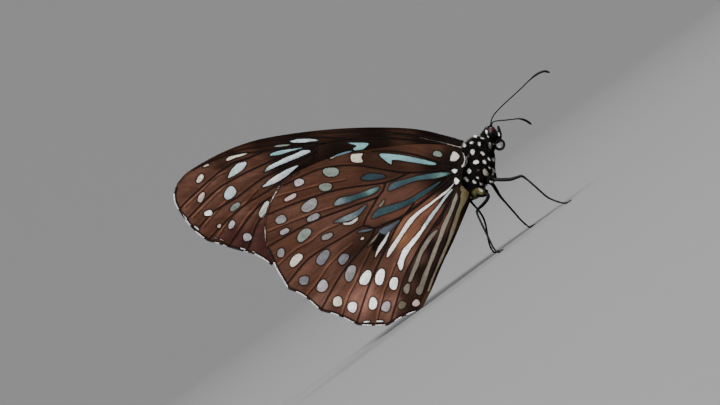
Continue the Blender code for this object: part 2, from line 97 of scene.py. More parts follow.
# Wing outlines, each a run of smooth curves that meet at corners; True marks a fringed edge
FOREWING_EDGES = [
    (False, [(464.2, 140.9), (450, 136.6), (425, 130.3), (400, 127.6), (360, 127.4), (320, 130.0),
             (280, 135.2), (250, 141.6), (220, 153.2), (190, 170), (179.6, 179.8), (174.8, 187)]),
    (True, [(174.8, 187), (172.8, 196), (176.5, 208.5), (190, 227.2), (205, 240.4), (217, 244.4),
            (230, 248.6), (241, 251.8), (253, 254.8), (262, 259.4), (271, 265.4)]),
    (False, [(271, 265.4), (282, 262), (300, 253), (340, 232), (380, 211), (420, 189), (446, 173),
             (456.4, 166)]),
    (False, [(456.4, 166), (458, 159), (459.4, 151.8), (464.2, 140.9)]),
]
HINDWING_EDGES = [
    (False, [(461.5, 148.6), (450, 145.4), (420, 144), (390, 146.5), (360, 151), (330, 158), (300, 170.5),
             (283, 181), (271, 198)]),
    (False, [(271, 198), (265, 215), (264.3, 232), (266.5, 249)]),
    (True, [(266.5, 249), (276, 269.5), (281, 278), (288, 290)]),
    (True, [(288, 290), (303, 296.5), (321, 312)]),
    (True, [(321, 312), (338, 316.5), (358, 326)]),
    (True, [(358, 326), (372, 326.6), (388, 326.3)]),
    (True, [(388, 326.3), (403, 317.7), (421, 310.2)]),
    (False, [(421, 310.2), (424.5, 304), (433, 287), (443, 263), (454, 240), (465.5, 213), (470.6, 200),
             (469.6, 192.5)]),
    (False, [(469.6, 192.5), (465.0, 188.6), (462, 183), (463.5, 168), (465, 158), (461.5, 148.6)]),
]

# Wing veins, root first, then the creases midway between them, from inside to the margin
FOREWING_VEINS = [
    [(461, 146), (430, 137.8), (395, 132.8), (355, 131.5), (322, 133)],
    [(460, 148.5), (430, 142), (385, 137.8), (340, 140), (318, 144.5), (285, 148.2), (255, 152),
     (228, 155), (203, 164.5), (192, 170)],
    [(352, 139), (320, 137.2), (285, 139.3), (262, 141.8)],
    [(325, 143), (285, 143.3), (255, 147), (226, 153)],
    [(262, 151.6), (248, 158), (228, 165.5), (200, 188.5), (179, 209)],
    [(318, 144.5), (316, 151), (317, 159), (324, 166)],
    [(318, 144.5), (285, 154.8), (262, 165), (240, 175.5), (215, 191), (186, 220)],
    [(316, 151), (290, 164), (262, 178.5), (236, 198), (213, 212), (197, 230)],
    [(456, 157), (400, 163), (345, 167.5), (324, 166), (292, 175.8), (268, 190.6), (238, 210),
     (209, 239)],
    [(345, 168), (300, 185), (265, 200.5), (250, 216), (230, 244)],
    [(375, 165.2), (320, 192.5), (266, 213), (247, 250)],
    [(453, 163), (420, 178), (340, 217), (277, 258)],
]
FOREWING_CREASES = [
    [(226, 171), (214, 177), (200, 191), (184, 206)], [(226, 184), (212, 197), (192, 217)],
    [(232, 196), (222, 204), (203, 226)], [(256, 190), (244, 203), (231, 216), (216, 238)],
    [(262, 202), (248, 214), (238, 229)],
]
HINDWING_VEINS = [
    [(452, 165), (438.5, 162.2), (415, 154.6), (390, 151), (372, 151.4)],
    [(452, 169.2), (409.6, 172.5), (385, 169.8), (355, 165.3), (320, 169), (283, 185.5)],
    [(409.6, 172.5), (385.4, 182.3), (340, 189.2), (300, 201.5), (268, 214.3)],
    [(385.4, 182.3), (383, 190), (378, 197), (367, 216), (363, 226)],
    [(378, 197), (350, 207), (310, 222.7), (268, 246.5)],
    [(452, 176), (446, 181.5), (440, 187), (430, 195.5), (420, 203.5), (410, 211), (400, 217.5),
     (388, 222.5), (375, 228), (363, 226), (341.5, 238), (309, 258.5), (285.5, 286)],
    [(375, 228), (369.4, 239), (341.5, 274), (321.5, 309)],
    [(414, 203), (397, 226), (372, 278), (356.5, 323)],
    [(456, 186), (445, 208), (428, 234), (413, 259), (403, 281), (390, 324)],
    [(461, 191), (455.5, 211), (446, 238), (435, 264), (426, 288), (417, 307)],
]
HINDWING_CREASES = [
    [(345, 179), (321, 184), (299, 189.5), (275.5, 196)],
    [(340, 204.5), (315, 212), (292, 220.5), (267, 231)],
    [(352, 217), (339, 223), (322, 231), (309, 241), (293.5, 250), (275, 267)],
    [(352, 243), (341, 252), (328, 265), (316.5, 281.5), (305, 296)],
    [(371, 247), (361, 267), (355, 281.5), (348, 295), (341, 315)],
    [(395, 263), (389, 278), (383, 293), (375, 325)],
]

# Colours of the scales, as the photograph shows them, 0 to 255
PALE = {
    "white": (253, 251, 247),
    "ivory": (214, 208, 190),
    "lilac": (172, 166, 172),
    "mist": (140, 140, 140),
    "sage": (130, 142, 134),
    "slate": (120, 123, 130),
    "silver": (150, 150, 154),
    "glacier": (112, 150, 146),
    "fog": (134, 150, 154),
    "pearl": (190, 194, 186),
    # The next colour is painted green reflected light on pale scales
    "green_reflection": (88, 84, 34),
    "ice": (184, 200, 206),
    "blue": (126, 176, 180),
    "sky": (104, 146, 160),
    "teal": (52, 80, 92),
    "sea": (58, 90, 96),
    "steel": (84, 98, 108),
    # The next colour is a pale spot darkened by painted shade
    "olive": (108, 102, 84),
    "hay": (114, 106, 80),
    "chalk": (226, 224, 216),
    "stone": (128, 120, 108),
    "dusk": (70, 58, 48),
    "pink": (200, 178, 170),
    "blush": (228, 218, 213),
    "rust": (140, 96, 78),
    "black": (10, 5, 5),
}

# Oval marks: centre, length, width, turn in degrees up from the right, colour
FOREWING_SPOTS = [
    ((206, 165.5), 5.5, 1.9, 22, "pink"), ((200, 178.5), 9.5, 5.0, 58, "ivory"),
    ((201, 197.5), 11.5, 5.0, 66, "pink"), ((208.2, 213.2), 7.8, 5.8, 20, "white"),
    ((219, 226), 4.4, 3.0, 40, "pink"), ((230, 193), 14.5, 9.4, 46, "ice"),
    ((235, 206.8), 11.5, 5.6, 40, "sage"), ((231.6, 224.6), 9.0, 5.2, 55, "lilac"),
    ((247.2, 237.2), 8.8, 7.4, 20, "lilac"), ((264, 209.5), 17.0, 6.6, 62, "pearl"),
]
HINDWING_SPOTS = [
    ((299, 182.5), 10.5, 6.6, 24, "lilac"), ((290.5, 197.5), 14, 4.2, 26, "pink"),
    ((281, 219.5), 10.5, 8.4, 30, "mist"), ((284.5, 231.5), 10.5, 4.8, 27, "lilac"),
    ((281, 253), 9.6, 6.6, 82, "mist"), ((296, 260), 15, 8.4, 47, "ivory"),
    ((304, 280.5), 9.8, 8.8, 0, "slate"), ((322.5, 286), 12.6, 9.6, 48, "lilac"),
    ((337.5, 301.5), 10.4, 8.6, 100, "ivory"), ((352.5, 307), 11, 8.6, 80, "white"),
    ((373, 303.5), 12, 8.2, 76, "white"), ((386, 306.5), 11.4, 7.8, 68, "lilac"),
    # The spot at (402, 305) is a pale spot coloured a dim olive: painted shade
    ((402, 305), 8.4, 7.2, 60, "olive"), ((416, 303), 7.4, 6.6, 50, "pink"),
    ((331, 172), 16, 9, 5, "sage"), ((325.5, 187), 13, 7.8, 12, "sage"),
    ((309.5, 205.5), 18, 9.8, 32, "mist"), ((313.4, 217.4), 13, 6.4, 28, "silver"),
    ((304, 235), 15.6, 9.6, 45, "sage"), ((327, 236.5), 11.4, 5.6, 20, "mist"),
    ((323, 257.5), 18, 8.6, 56, "slate"), ((343.5, 259), 13, 8.0, 50, "slate"),
    ((350.5, 273), 18, 8.6, 68, "mist"), ((365.6, 277.8), 16.4, 8.8, 64, "white"),
    ((380, 277), 15.4, 9.2, 74, "white"), ((393.8, 283.3), 12.0, 8.6, 80, "white"),
    ((406.5, 289), 9, 5.4, 82, "stone"), ((419.5, 290.5), 9, 6.4, 70, "stone"),
    ((437.5, 154), 9.6, 5.4, -14, "sage"), ((362.5, 238.5), 3.6, 2.4, 30, "ivory"),
    ((407, 288.6), 11, 5.2, 80, "stone"),
]

# Long marks: outline points and colour
FOREWING_STREAKS = [
    ([(226, 160), (229, 157), (237, 154.8), (247, 153), (244, 155), (236, 157.5), (229, 160.2)], "ivory"),
    ([(228, 178), (229, 174), (232, 169), (237, 164), (243, 162), (246, 162.4), (246, 165), (243, 169),
      (238, 173), (232, 176.5)], "ice"),
    ([(262, 187), (265, 184), (272, 178), (281, 172.6), (289, 168.4), (298.4, 165.2), (295, 168.6),
      (289.5, 173.6), (283, 178.4), (276, 182.4), (268, 185.8)], "ice"),
    ([(264.4, 171.8), (268, 166.6), (275, 162.8), (285, 157.8), (295, 153.6), (303, 150.2), (311, 151),
      (303, 155.4), (290, 160.8), (278, 165.8), (270.4, 169.4)], "ice"),
    ([(270, 155.5), (272, 153), (280, 150.5), (290, 149), (303, 147.5), (296, 149.8), (288, 152),
      (278, 155)], "blue"),
    ([(274, 146), (280, 144.6), (290, 144.3), (286, 146), (276, 147)], "sage"),
    ([(290, 141), (300, 138.9), (312, 139), (319, 140.3), (310, 141.5), (300, 143.5), (293, 142.5)],
     "ice"),
    ([(347.4, 142.8), (354, 142.6), (367.6, 143), (368, 145), (363, 149), (355, 150.4), (353, 148.6),
      (356.5, 145.6)], "blue"),
    ([(331, 157.6), (340, 153.2), (350, 150.8), (352, 151.4), (342, 154.6), (333, 157.8)], "sky"),
]
HINDWING_STREAKS = [
    ([(379.5, 154), (392, 154), (410, 156.6), (430, 161.2), (436.4, 163.8), (432, 165), (415, 162.8),
      (399, 160.2), (392, 160.2), (391.4, 164.4), (384.4, 160)], "blue"),
    ([(452.2, 152.8), (455.4, 152.0), (459.4, 156.4), (457, 160), (455.2, 161.2), (451, 160.8),
      (450.2, 159.2)], "blush"),
    ([(462.6, 152), (463.8, 154), (464.8, 157), (465.1, 161), (464.4, 164.5), (462.6, 167),
      (461.4, 166.4), (463.2, 163.4), (464.0, 160.5), (463.8, 157), (463, 154.4)], "blush"),
    ([(451.8, 170.2), (454.6, 169.2), (457.4, 170), (456.6, 172), (454.8, 173.2), (452.6, 171.8)],
     "white"),
    ([(454.6, 178.6), (456.2, 177.8), (458, 179.2), (459.2, 181), (457.4, 184), (455, 183.8),
      (454.2, 181.6)], "white"),
    ([(351.2, 154.8), (357, 153.8), (362.6, 153.6), (361, 157.4), (362.6, 161.8), (356, 162.4),
      (351.4, 161)], "ivory"),
    ([(361, 178.8), (370, 173.4), (386, 176.2), (372, 180.2)], "teal"),
    ([(388, 190.4), (392, 183.2), (405, 179.4), (420, 175.4), (440, 172.4), (451, 173.6), (436, 178.4),
      (418, 180.4), (404, 185), (393, 189.6)], "sea"),
    ([(371.6, 218.4), (378, 209.5), (392, 204.8), (408, 199.6), (424, 190), (441, 181.2), (428, 192.6),
      (412, 203), (396, 210.2), (380, 215.8)], "sea"),
    ([(378.6, 206.4), (381, 203), (384.6, 199.2), (384, 202), (381, 206.6)], "stone"),
    ([(334, 205.4), (339, 198.5), (352, 195.5), (364, 191.5), (377, 186.8), (379.4, 189), (371, 194.6),
      (357, 199.2), (345, 203.6)], "sea"),
    ([(333.6, 222.4), (343, 217), (356, 211.2), (366.8, 204.2), (361, 213), (354, 218.6), (345.4, 221.6)],
     "steel"),
    ([(357.6, 232.6), (364, 229.4), (373, 228.8), (369, 231.2)], "steel"),
    ([(379.4, 230), (390, 224.6), (400.6, 219.6), (392.4, 229), (387, 234.6), (380.6, 233.4)], "steel"),
    ([(375, 257.4), (378.6, 247), (384.8, 238), (390.4, 229.6), (386, 241), (379.6, 251)], "chalk"),
    ([(367.4, 246.6), (373, 239), (380.4, 230.6), (375, 239.4)], "stone"),
    ([(372.6, 249), (373.6, 242), (377, 236.5), (382, 233.6), (384.6, 234), (382.4, 240), (378.6, 246.4),
      (375, 250.4)], "black"),
    ([(342.6, 223), (350, 221.8), (357.6, 217.4), (356.6, 221), (351, 224.4), (345, 224.8)], "ivory"),
    ([(454.4, 182.6), (448, 189), (443, 192.8), (436, 198.2), (430, 202.8), (424, 206.8), (418, 211.2),
      (413, 215.2), (408, 220.4), (403.4, 227.2), (399.6, 233.6), (395, 240), (391, 246), (388, 251.6),
      (386.6, 256.8), (388.6, 256.4), (392, 252), (395.4, 247), (399, 241.6), (402, 236.4), (406, 231),
      (410, 225.4), (414, 220), (418.6, 215), (424, 210.4), (430, 205.8), (436, 200.8), (441, 197),
      (446, 193.4), (450, 189.4), (453.6, 184.6)], "chalk"),
    ([(452, 188.6), (447.6, 192.6), (443.8, 197), (440.4, 202), (436, 207.5), (432, 212.5), (428.4, 217),
      (425.4, 222), (422.6, 226.4), (425.6, 227.4), (429, 222.6), (433, 217), (437, 211.4), (441, 205.6),
      (445, 200), (449, 194.4), (452.6, 189.8)], "ice"),
    ([(424.4, 223.4), (422.4, 226.6), (420, 230.4), (416, 235), (411.4, 240.4), (406.6, 245.6),
      (402.6, 250), (400.4, 255.6), (398.4, 261), (398, 264.6), (400.4, 270.4), (402.8, 267.4),
      (403.8, 262), (405.2, 257.6), (408, 253), (411, 248), (415, 243), (419, 237.6), (422, 233),
      (425, 228.2), (427, 225.4)], "white"),
    ([(435.6, 230), (429, 236), (424, 243), (420, 250), (416, 260), (413.6, 266), (410.8, 273),
      (408.2, 280.6), (411.2, 281.6), (414, 275.6), (416.4, 270), (419.4, 263), (422.4, 254),
      (427.4, 246), (432.4, 238), (437.4, 231)], "stone"),
    ([(456.6, 192.6), (453, 200), (450, 209), (445, 219), (441.4, 227), (439, 235), (436, 243),
      (432, 252), (428, 263), (424, 272), (421, 280), (418.8, 286), (415.8, 291), (417.4, 294),
      (420.8, 293.4), (423.4, 289), (424.8, 284), (427.4, 277), (431.2, 265), (435.2, 256), (438.2, 247),
      (441.2, 240), (444.4, 232), (448.2, 222), (452.2, 213), (455.2, 205), (457.4, 197.6)], "stone"),
    ([(460.6, 186), (460.2, 195), (460.2, 201), (457, 210), (453.8, 220), (450.4, 230), (447.6, 240),
      (443.4, 250), (439.2, 260), (435.4, 270), (431, 280), (427.4, 291), (429.4, 290.6), (433.2, 280),
      (437.2, 270), (442.2, 260), (446.4, 250), (450.8, 240), (454.9, 230), (458, 220), (461.4, 210),
      (464.2, 205), (466.9, 200), (469, 194.6), (468, 190.4), (464.6, 187.4)], "hay"),
]

# Places where the marks turn paler or bluer: centre, reach, colour
HINDWING_GLINTS = [
    ((443, 176), 9, "glacier"), ((338, 201), 8, "fog"), ((371, 192), 6, "glacier"),
    ((348, 217), 8, "fog"), ((384, 157), 7, "blue"), ((419, 161), 11, "sky"), ((432, 186), 7, "teal"),
    # The glint at (467, 193) lays painted green reflected light over the root of the pale inner streak
    ((405, 203), 8, "teal"), ((467, 193), 5, "green_reflection"), ((392, 187), 5, "steel"), ((450, 236), 9, "stone"),
    ((442, 256), 12, "stone"), ((433, 280), 12, "stone"),
]
FOREWING_GLINTS = [
    ((266, 171.5), 4, "steel"), ((236, 193), 6, "ice"), ((276, 178), 6, "chalk"), ((290, 156), 7, "ice"),
]

# Short white dashes just inside the fringe, from and to
FOREWING_DASHES = [
    ((182, 214), (186.5, 219.4)), ((194, 226), (199, 230.2)), ((240, 248), (245.2, 249.8)),
]
HINDWING_DASHES = [
    ((363.6, 322), (370, 321.4)), ((376, 321.4), (383.4, 321.2)),
]

# Thin light lines: from, to, width, colour
FOREWING_LINES = [
    ((382, 132.8), (401, 134.4), 0.5, "dusk"), ((399, 134.2), (419, 137.4), 0.6, "dusk"),
    ((417, 137.0), (435, 140.6), 0.6, "stone"), ((433, 140.2), (448, 144.0), 0.7, "stone"),
    ((446, 143.5), (459, 147.0), 0.7, "pink"), ((458, 146.6), (463.6, 147.8), 0.9, "blush"),
    ((212.6, 236.8), (217.4, 238.8), 0.9, "stone"), ((220, 239.2), (223.6, 240.8), 1.0, "pink"),
    ((251.8, 251.0), (255.4, 252.8), 0.9, "pink"),
]
HINDWING_LINES = [
    ((281, 183.2), (270, 203.2), 0.9, "chalk"), ((269.4, 204.6), (266.2, 213.4), 0.9, "rust"),
    ((265.8, 214), (265, 226), 0.8, "rust"), ((265, 226), (265.4, 242), 1.1, "pink"),
    ((299, 171.8), (284, 181.6), 0.7, "rust"), ((329, 158.8), (335.4, 156.4), 0.9, "ivory"),
]

# Dark bands of the ground
FOREWING_BANDS = [
    [(464, 141), (450, 136.6), (425, 130.3), (400, 127.6), (360, 127.4), (320, 130), (280, 135.2),
     (250, 141.6), (220, 153.2), (190, 170), (177, 182.6), (178.2, 184), (191, 171.6), (221, 154.8),
     (251, 143.2), (280.4, 136.8), (320.2, 131.6), (360, 129), (400, 129.2), (424.6, 131.8),
     (449.4, 138.2), (463, 142.4)],
]
HINDWING_BANDS = [
    [(452.6, 192), (449, 200), (443.6, 210), (438, 220), (430.4, 230), (422.6, 240), (416.8, 250),
     (412.2, 260), (408.2, 270), (404.6, 282), (401, 296), (403, 296), (404.6, 290), (408, 279),
     (410.4, 270), (414.6, 260), (419.6, 250), (423.8, 240), (431, 231), (438, 226.6), (442, 222),
     (446, 213), (450, 204), (453.6, 198)],
    [(446, 180), (438, 186.6), (428, 195), (418, 202.6), (408, 210.6), (396, 218), (382, 223.6),
     (382, 226), (398, 220.4), (410, 213), (421, 205), (431, 197), (441, 189.4), (449, 184)],
]

# Where the fringe is white, along the margin, from and to
FOREWING_WHITE = [
    ((172.5, 194), (177, 209)), ((184, 220), (189, 226)), ((195, 232), (203, 239.5)),
    ((214.4, 243.8), (218.6, 245)), ((222, 246), (225.8, 247.2)), ((243, 252.2), (247.6, 253.4)),
    ((254, 255.2), (268.6, 263.8)),
]
HINDWING_WHITE = [
    ((271.6, 263.4), (274.4, 268)), ((275.4, 268.4), (287, 287.6)), ((295.6, 293), (306, 298.6)),
    ((309.6, 300.6), (318, 308.6)), ((330, 314.3), (338, 317)), ((342.6, 319), (353, 324.6)),
    ((362.4, 326.6), (372, 326.8)), ((375.6, 326), (384.6, 326)), ((395, 321), (402, 318)),
    ((407.4, 316.4), (416, 312.4)),
]

# Ground colours, 0 to 255, then the places that each of them spreads from
GROUND = {
    "soot": (14, 5, 3),
    "peat": (24, 12, 8),
    "bark": (44, 24, 14),
    "cocoa": (69, 45, 33),
    "chestnut": (92, 60, 46),
    "russet": (103, 70, 57),
    "fawn": (130, 95, 81),
    "sienna": (130, 84, 66),
    "tawny": (142, 98, 68),
    "wine": (78, 46, 42),
    "clay": (152, 108, 94),
}
FOREWING_GROUND = {
    "soot": [(457, 141), (430, 142), (380, 140), (335, 146), (300, 150), (284, 165)],
    "cocoa": [(400, 130.4), (330, 131), (225, 161)],
    "bark": [(262, 145)],
    "chestnut": [(257, 162), (258, 198), (214, 228)],
    "russet": [(248, 174), (212, 184), (190, 196), (240, 214)],
    "wine": [(238, 238), (262, 238)],
}
HINDWING_GROUND = {
    "soot": [(452, 162), (460, 176), (445, 185)],
    "bark": [(446, 154), (446, 165), (383, 242), (400, 314), (411, 308)],
    "peat": [(436, 169), (456, 206), (446, 245), (434, 270), (405, 298), (430, 246), (420, 270)],
    "chestnut": [(440, 149), (415, 150), (330, 166), (345, 184), (300, 192), (288, 245), (313, 286),
                 (332, 308), (387, 291), (378, 316)],
    "cocoa": [(395, 170), (360, 252), (370, 156), (427, 297)],
    "russet": [(400, 190), (380, 200), (302, 215), (332, 229), (300, 270), (345, 284), (394, 263),
               (428, 229)],
    "fawn": [(324, 303), (388, 314), (412, 257)],
    "clay": [(364, 299), (393.6, 300)],
    "sienna": [(414, 228), (430, 209)],
    "tawny": [(404, 240)],
}


def levelled(pixels):
    """Metres along the floor from the photograph's corner, and above it, for pixels."""
    pixels = np.asarray(pixels, dtype=float)
    px, py = pixels[..., 0], pixels[..., 1]
    along = px * math.cos(FLOOR_SLOPE) - py * math.sin(FLOOR_SLOPE)
    down = px * math.sin(FLOOR_SLOPE) + py * math.cos(FLOOR_SLOPE)
    return np.stack([along * SCALE, (FLOOR_READING - down) * SCALE], axis=-1)


SHIFT = float(levelled(WING_ROOT_TOP)[0]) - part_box("forewing_r")[1].x


def side(pixels):
    """Places x and z in the shared frame, for pixels of the photograph."""
    return levelled(pixels) - (SHIFT, 0.0)


def unit(rows):
    """Rows of numbers, each scaled to length one."""
    return rows / np.maximum(np.linalg.norm(rows, axis=1), 1e-9)[:, None]


def closed(loop):
    """A loop with its first point again at its end."""
    return np.vstack([loop, loop[:1]])


def swung(rows, angles):
    """Directions in the side view, each turned by its own angle."""
    c, s = np.cos(angles), np.sin(angles)
    return np.column_stack([rows[:, 0] * c - rows[:, 1] * s, rows[:, 0] * s + rows[:, 1] * c])


def stood_out(points, distance, hand):
    """Points of the side view set at a distance from the middle plane, on one side."""
    y = np.full(len(points), MIDDLE + hand * distance)
    return np.column_stack([points[:, 0], y, points[:, 1]])


def smooth(rows, step):
    """Rows of numbers resampled at the step along a Catmull-Rom curve through them."""
    rows = np.array(rows, dtype=float)
    padded = np.vstack([2 * rows[0] - rows[1], rows, 2 * rows[-1] - rows[-2]])
    fine = []
    for i in range(len(rows) - 1):
        a, b, c, d = padded[i:i + 4]
        for t in np.linspace(0, 1, CURVE_SAMPLES, endpoint=False):
            fine.append(0.5 * (2 * b + (c - a) * t + (2 * a - 5 * b + 4 * c - d) * t ** 2
                               + (3 * b - a - 3 * c + d) * t ** 3))
    fine = np.array(fine + [rows[-1]])
    lengths = np.linalg.norm(np.diff(fine[:, :min(3, fine.shape[1])], axis=0), axis=1)
    travel = np.concatenate([[0], np.cumsum(lengths)])
    count = max(2, round(travel[-1] / step) + 1)
    stops = np.linspace(0, travel[-1], count)
    return np.column_stack([np.interp(stops, travel, column) for column in fine.T])


def rounded_loop(corners):
    """A closed curve through a few points."""
    corners = np.array(corners, dtype=float)
    loop = []
    for i in range(len(corners)):
        a, b, c, d = (corners[(i + k) % len(corners)] for k in (-1, 0, 1, 2))
        for t in LOOP_SHARES:
            loop.append(b + 0.5 * t * ((c - a) + t * ((2 * a - 5 * b + 4 * c - d)
                                                    + t * (3 * b - a - 3 * c + d))))
    return np.array(loop)


def oval_loop(centre, length, width, turn, uneven=0.0):
    """A closed, slightly squared oval in pixels, its long axis turned up from the right."""
    angles = np.linspace(0, 2 * math.pi, OVAL_POINTS, endpoint=False)
    phase = 1.7 * centre[0] + 2.3 * centre[1]
    swell = 1 + uneven * (np.sin(2 * angles + phase) + 0.8 * np.sin(3 * angles + 2 * phase))
    along, across = (0.5 * size * swell * np.sign(wave) * np.abs(wave) ** SQUARED
                     for size, wave in ((length, np.cos(angles)), (width, np.sin(angles))))
    c, s = math.cos(math.radians(turn)), math.sin(math.radians(turn))
    return np.column_stack([centre[0] + along * c - across * s,
                            centre[1] - along * s - across * c])


def dash_loop(start, end, width):
    """A thin closed oval between two pixels."""
    run = np.subtract(end, start)
    turn = math.degrees(math.atan2(-run[1], run[0]))
    return oval_loop(np.add(start, end) / 2, math.hypot(*run), width, turn)


def line_distance(points, line):
    """The distance of each point from a line through several places."""
    starts = line[:-1]
    runs = line[1:] - starts
    lengths = np.maximum((runs ** 2).sum(axis=1), 1e-18)
    offset = points[:, None, :] - starts[None]
    share = np.clip((offset * runs).sum(axis=2) / lengths, 0, 1)
    nearest = offset - share[..., None] * runs
    return np.sqrt((nearest ** 2).sum(axis=2).min(axis=1))


def lines_distance(points, lines):
    """The distance of each point from the nearest of several lines."""
    return np.min([line_distance(points, line) for line in lines], axis=0)


def is_inside(points, loop):
    """Which points lie within a closed loop."""
    after = np.roll(loop, -1, axis=0)
    z = points[:, 1, None]
    spans = (loop[:, 1] > z) != (after[:, 1] > z)
    drop = np.where(after[:, 1] == loop[:, 1], 1e-12, after[:, 1] - loop[:, 1])
    cross = loop[:, 0] + (z - loop[:, 1]) * (after[:, 0] - loop[:, 0]) / drop
    return (spans & (points[:, 0, None] < cross)).sum(axis=1) % 2 == 1


def depth_in(points, loop):
    """The distance from a closed loop, positive inside it."""
    away = line_distance(points, closed(loop))
    return np.where(is_inside(points, loop), away, -away)


def nearest_mark(points, marks):
    """Depth into the nearest mark in millimetres, and that mark's colour."""
    depth = np.full(len(points), NO_DEPTH)
    tint = np.full((len(points), 3), NO_TINT)
    for loop, colour in marks:
        low = loop.min(axis=0) - MM
        high = loop.max(axis=0) + MM
        near = np.nonzero(((points > low) & (points < high)).all(axis=1))[0]
        if len(near) == 0:
            continue
        here = depth_in(points[near], loop)
        closer = here > depth[near]
        depth[near[closer]] = here[closer]
        tint[near[closer]] = colour
    return depth / MM, tint


def linear(colour):
    """The reflectance that shows as this screen colour, 0 to 255, under the studio's light."""
    share = np.asarray(colour, dtype=float) / 255
    light = np.where(share <= 0.04045, share / 12.92, ((share + 0.055) / 1.055) ** 2.4)
    brightness = light @ np.array([0.21, 0.72, 0.07])
    return np.minimum(light * brightness ** TONE_DEPTH, PALEST)


def new_mesh(name, vertices, triangles):
    """A smooth-shaded mesh from arrays of vertices and triangles."""
    mesh = bpy.data.meshes.new(name)
    mesh.vertices.add(len(vertices))
    mesh.vertices.foreach_set("co", np.asarray(vertices, np.float32).ravel())
    mesh.loops.add(3 * len(triangles))
    mesh.loops.foreach_set("vertex_index", np.asarray(triangles, np.int32).ravel())
    mesh.polygons.add(len(triangles))
    mesh.polygons.foreach_set("loop_start", np.arange(0, 3 * len(triangles), 3, dtype=np.int32))
    mesh.update(calc_edges=True)
    mesh.validate()
    mesh.shade_smooth()
    return mesh


def set_numbers(mesh, name, values):
    """Paints one number on each point of a mesh."""
    layer = mesh.attributes.new(name, "FLOAT", "POINT")
    layer.data.foreach_set("value", np.asarray(values, np.float32))


def set_colours(mesh, name, colours):
    """Paints one colour on each point of a mesh."""
    layer = mesh.attributes.new(name, "FLOAT_COLOR", "POINT")
    rows = np.column_stack([colours, np.ones(len(colours))])
    layer.data.foreach_set("color", rows.astype(np.float32).ravel())


def place(mesh, material, slot, *nodes):
    """Shows a mesh as a piece that rides with the animal and stands for these nodes."""
    piece = bpy.data.objects.new(mesh.name, mesh)
    bpy.context.scene.collection.objects.link(piece)
    mesh.materials.append(material)
    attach(piece, "root")
    if nodes:
        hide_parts(*nodes)


# Shader building

SCALE_GLOSS = (1.0, 0.62, 0.5, 1.0)
COARSE_RELIEF = 0.00003
FINE_RELIEF = 0.00001


def add_node(tree, kind, inputs=None, **settings):
    """A shader node with its settings, its inputs linked or set."""
    node = tree.nodes.new(kind)
    for key, value in settings.items():
        setattr(node, key, value)
    for key, value in (inputs or {}).items():
        if isinstance(value, bpy.types.NodeSocket):
            tree.links.new(value, node.inputs[key])
        else:
            node.inputs[key].default_value = value
    return node


def attribute(tree, name, output="Fac"):
    """A value painted on the mesh."""
    return add_node(tree, "ShaderNodeAttribute", attribute_name=name).outputs[output]


def between(tree, value, low, high, to_low=0.0, to_high=1.0):
    """A smooth step of a value from one level to another."""
    inputs = {"Value": value, "From Min": low, "From Max": high,
              "To Min": to_low, "To Max": to_high}
    return add_node(tree, "ShaderNodeMapRange", inputs,
                    interpolation_type="SMOOTHSTEP").outputs["Result"]


def mixed(tree, share, first, second, blend_type="MIX"):
    """Colours mixed by a share."""
    inputs = {0: share, 6: first, 7: second}
    return add_node(tree, "ShaderNodeMix", inputs, data_type="RGBA",
                    blend_type=blend_type).outputs[2]


def combined(tree, operation, first, second):
    """Two values put together by one sum."""
    return add_node(tree, "ShaderNodeMath", {0: first, 1: second},
                    operation=operation).outputs[0]


def weighed(tree, first, first_weight, second, second_weight):
    """The sum of two values, each times its weight."""
    return combined(tree, "ADD", combined(tree, "MULTIPLY", first, first_weight),
                    combined(tree, "MULTIPLY", second, second_weight))


def ragged(tree, value, depth):
    """A value of 0 to 1 as an unevenness round zero."""
    return combined(tree, "MULTIPLY", combined(tree, "SUBTRACT", value, 0.5), depth)


def places(tree):
    """Places on the piece in metres."""
    return add_node(tree, "ShaderNodeTexCoord").outputs["Object"]


def along_rays(tree, stretch):
    """Places on a wing as angle round its root, distance from the root and side."""
    root = side(WING_CENTRE)
    apart = add_node(tree, "ShaderNodeSeparateXYZ", {0: places(tree)})
    x = combined(tree, "SUBTRACT", apart.outputs[0], float(root[0]))
    z = combined(tree, "SUBTRACT", apart.outputs[2], float(root[1]))
    angle = combined(tree, "MULTIPLY", combined(tree, "ARCTAN2", z, x), RAY_LENGTH)
    squares = [combined(tree, "MULTIPLY", value, value) for value in (x, z)]
    away = combined(tree, "SQRT", combined(tree, "ADD", *squares), 0.0)
    away = combined(tree, "MULTIPLY", away, stretch)
    return add_node(tree, "ShaderNodeCombineXYZ",
                    {0: angle, 1: away, 2: apart.outputs[1]}).outputs[0]


def noise(tree, vector, scale, detail=2.0, roughness=0.5):
    """Soft random values from 0 to 1."""
    inputs = {"Vector": vector, "Scale": scale, "Detail": detail, "Roughness": roughness}
    return add_node(tree, "ShaderNodeTexNoise", inputs).outputs["Fac"]


def cells(tree, vector, scale):
    """Random cells, one for each scale or facet."""
    return add_node(tree, "ShaderNodeTexVoronoi", {"Vector": vector, "Scale": scale})


def rgba(colour):
    """A screen colour, 0 to 255, as a shader takes it."""
    return (*(float(c) for c in linear(colour)), 1.0)


def shader_of(name, roughness, specular=0.5, sheen=0.0, gloss=(1.0, 1.0, 1.0, 1.0)):
    """A new material with its node tree and its shader."""
    material = bpy.data.materials.new(name)
    material.use_nodes = True
    shader = material.node_tree.nodes["Principled BSDF"]
    shader.inputs["Roughness"].default_value = roughness
    shader.inputs["Specular IOR Level"].default_value = specular
    shader.inputs["Specular Tint"].default_value = gloss
    shader.inputs["Sheen Weight"].default_value = sheen
    return material, material.node_tree, shader


def surface(tree, shader, colour, height, distance, strength):
    """Gives a shader its colour and its fine relief."""
    tree.links.new(colour, shader.inputs["Base Color"])
    inputs = {"Height": height, "Distance": distance, "Strength": strength}
    relief = add_node(tree, "ShaderNodeBump", inputs)
    tree.links.new(relief.outputs["Normal"], shader.inputs["Normal"])
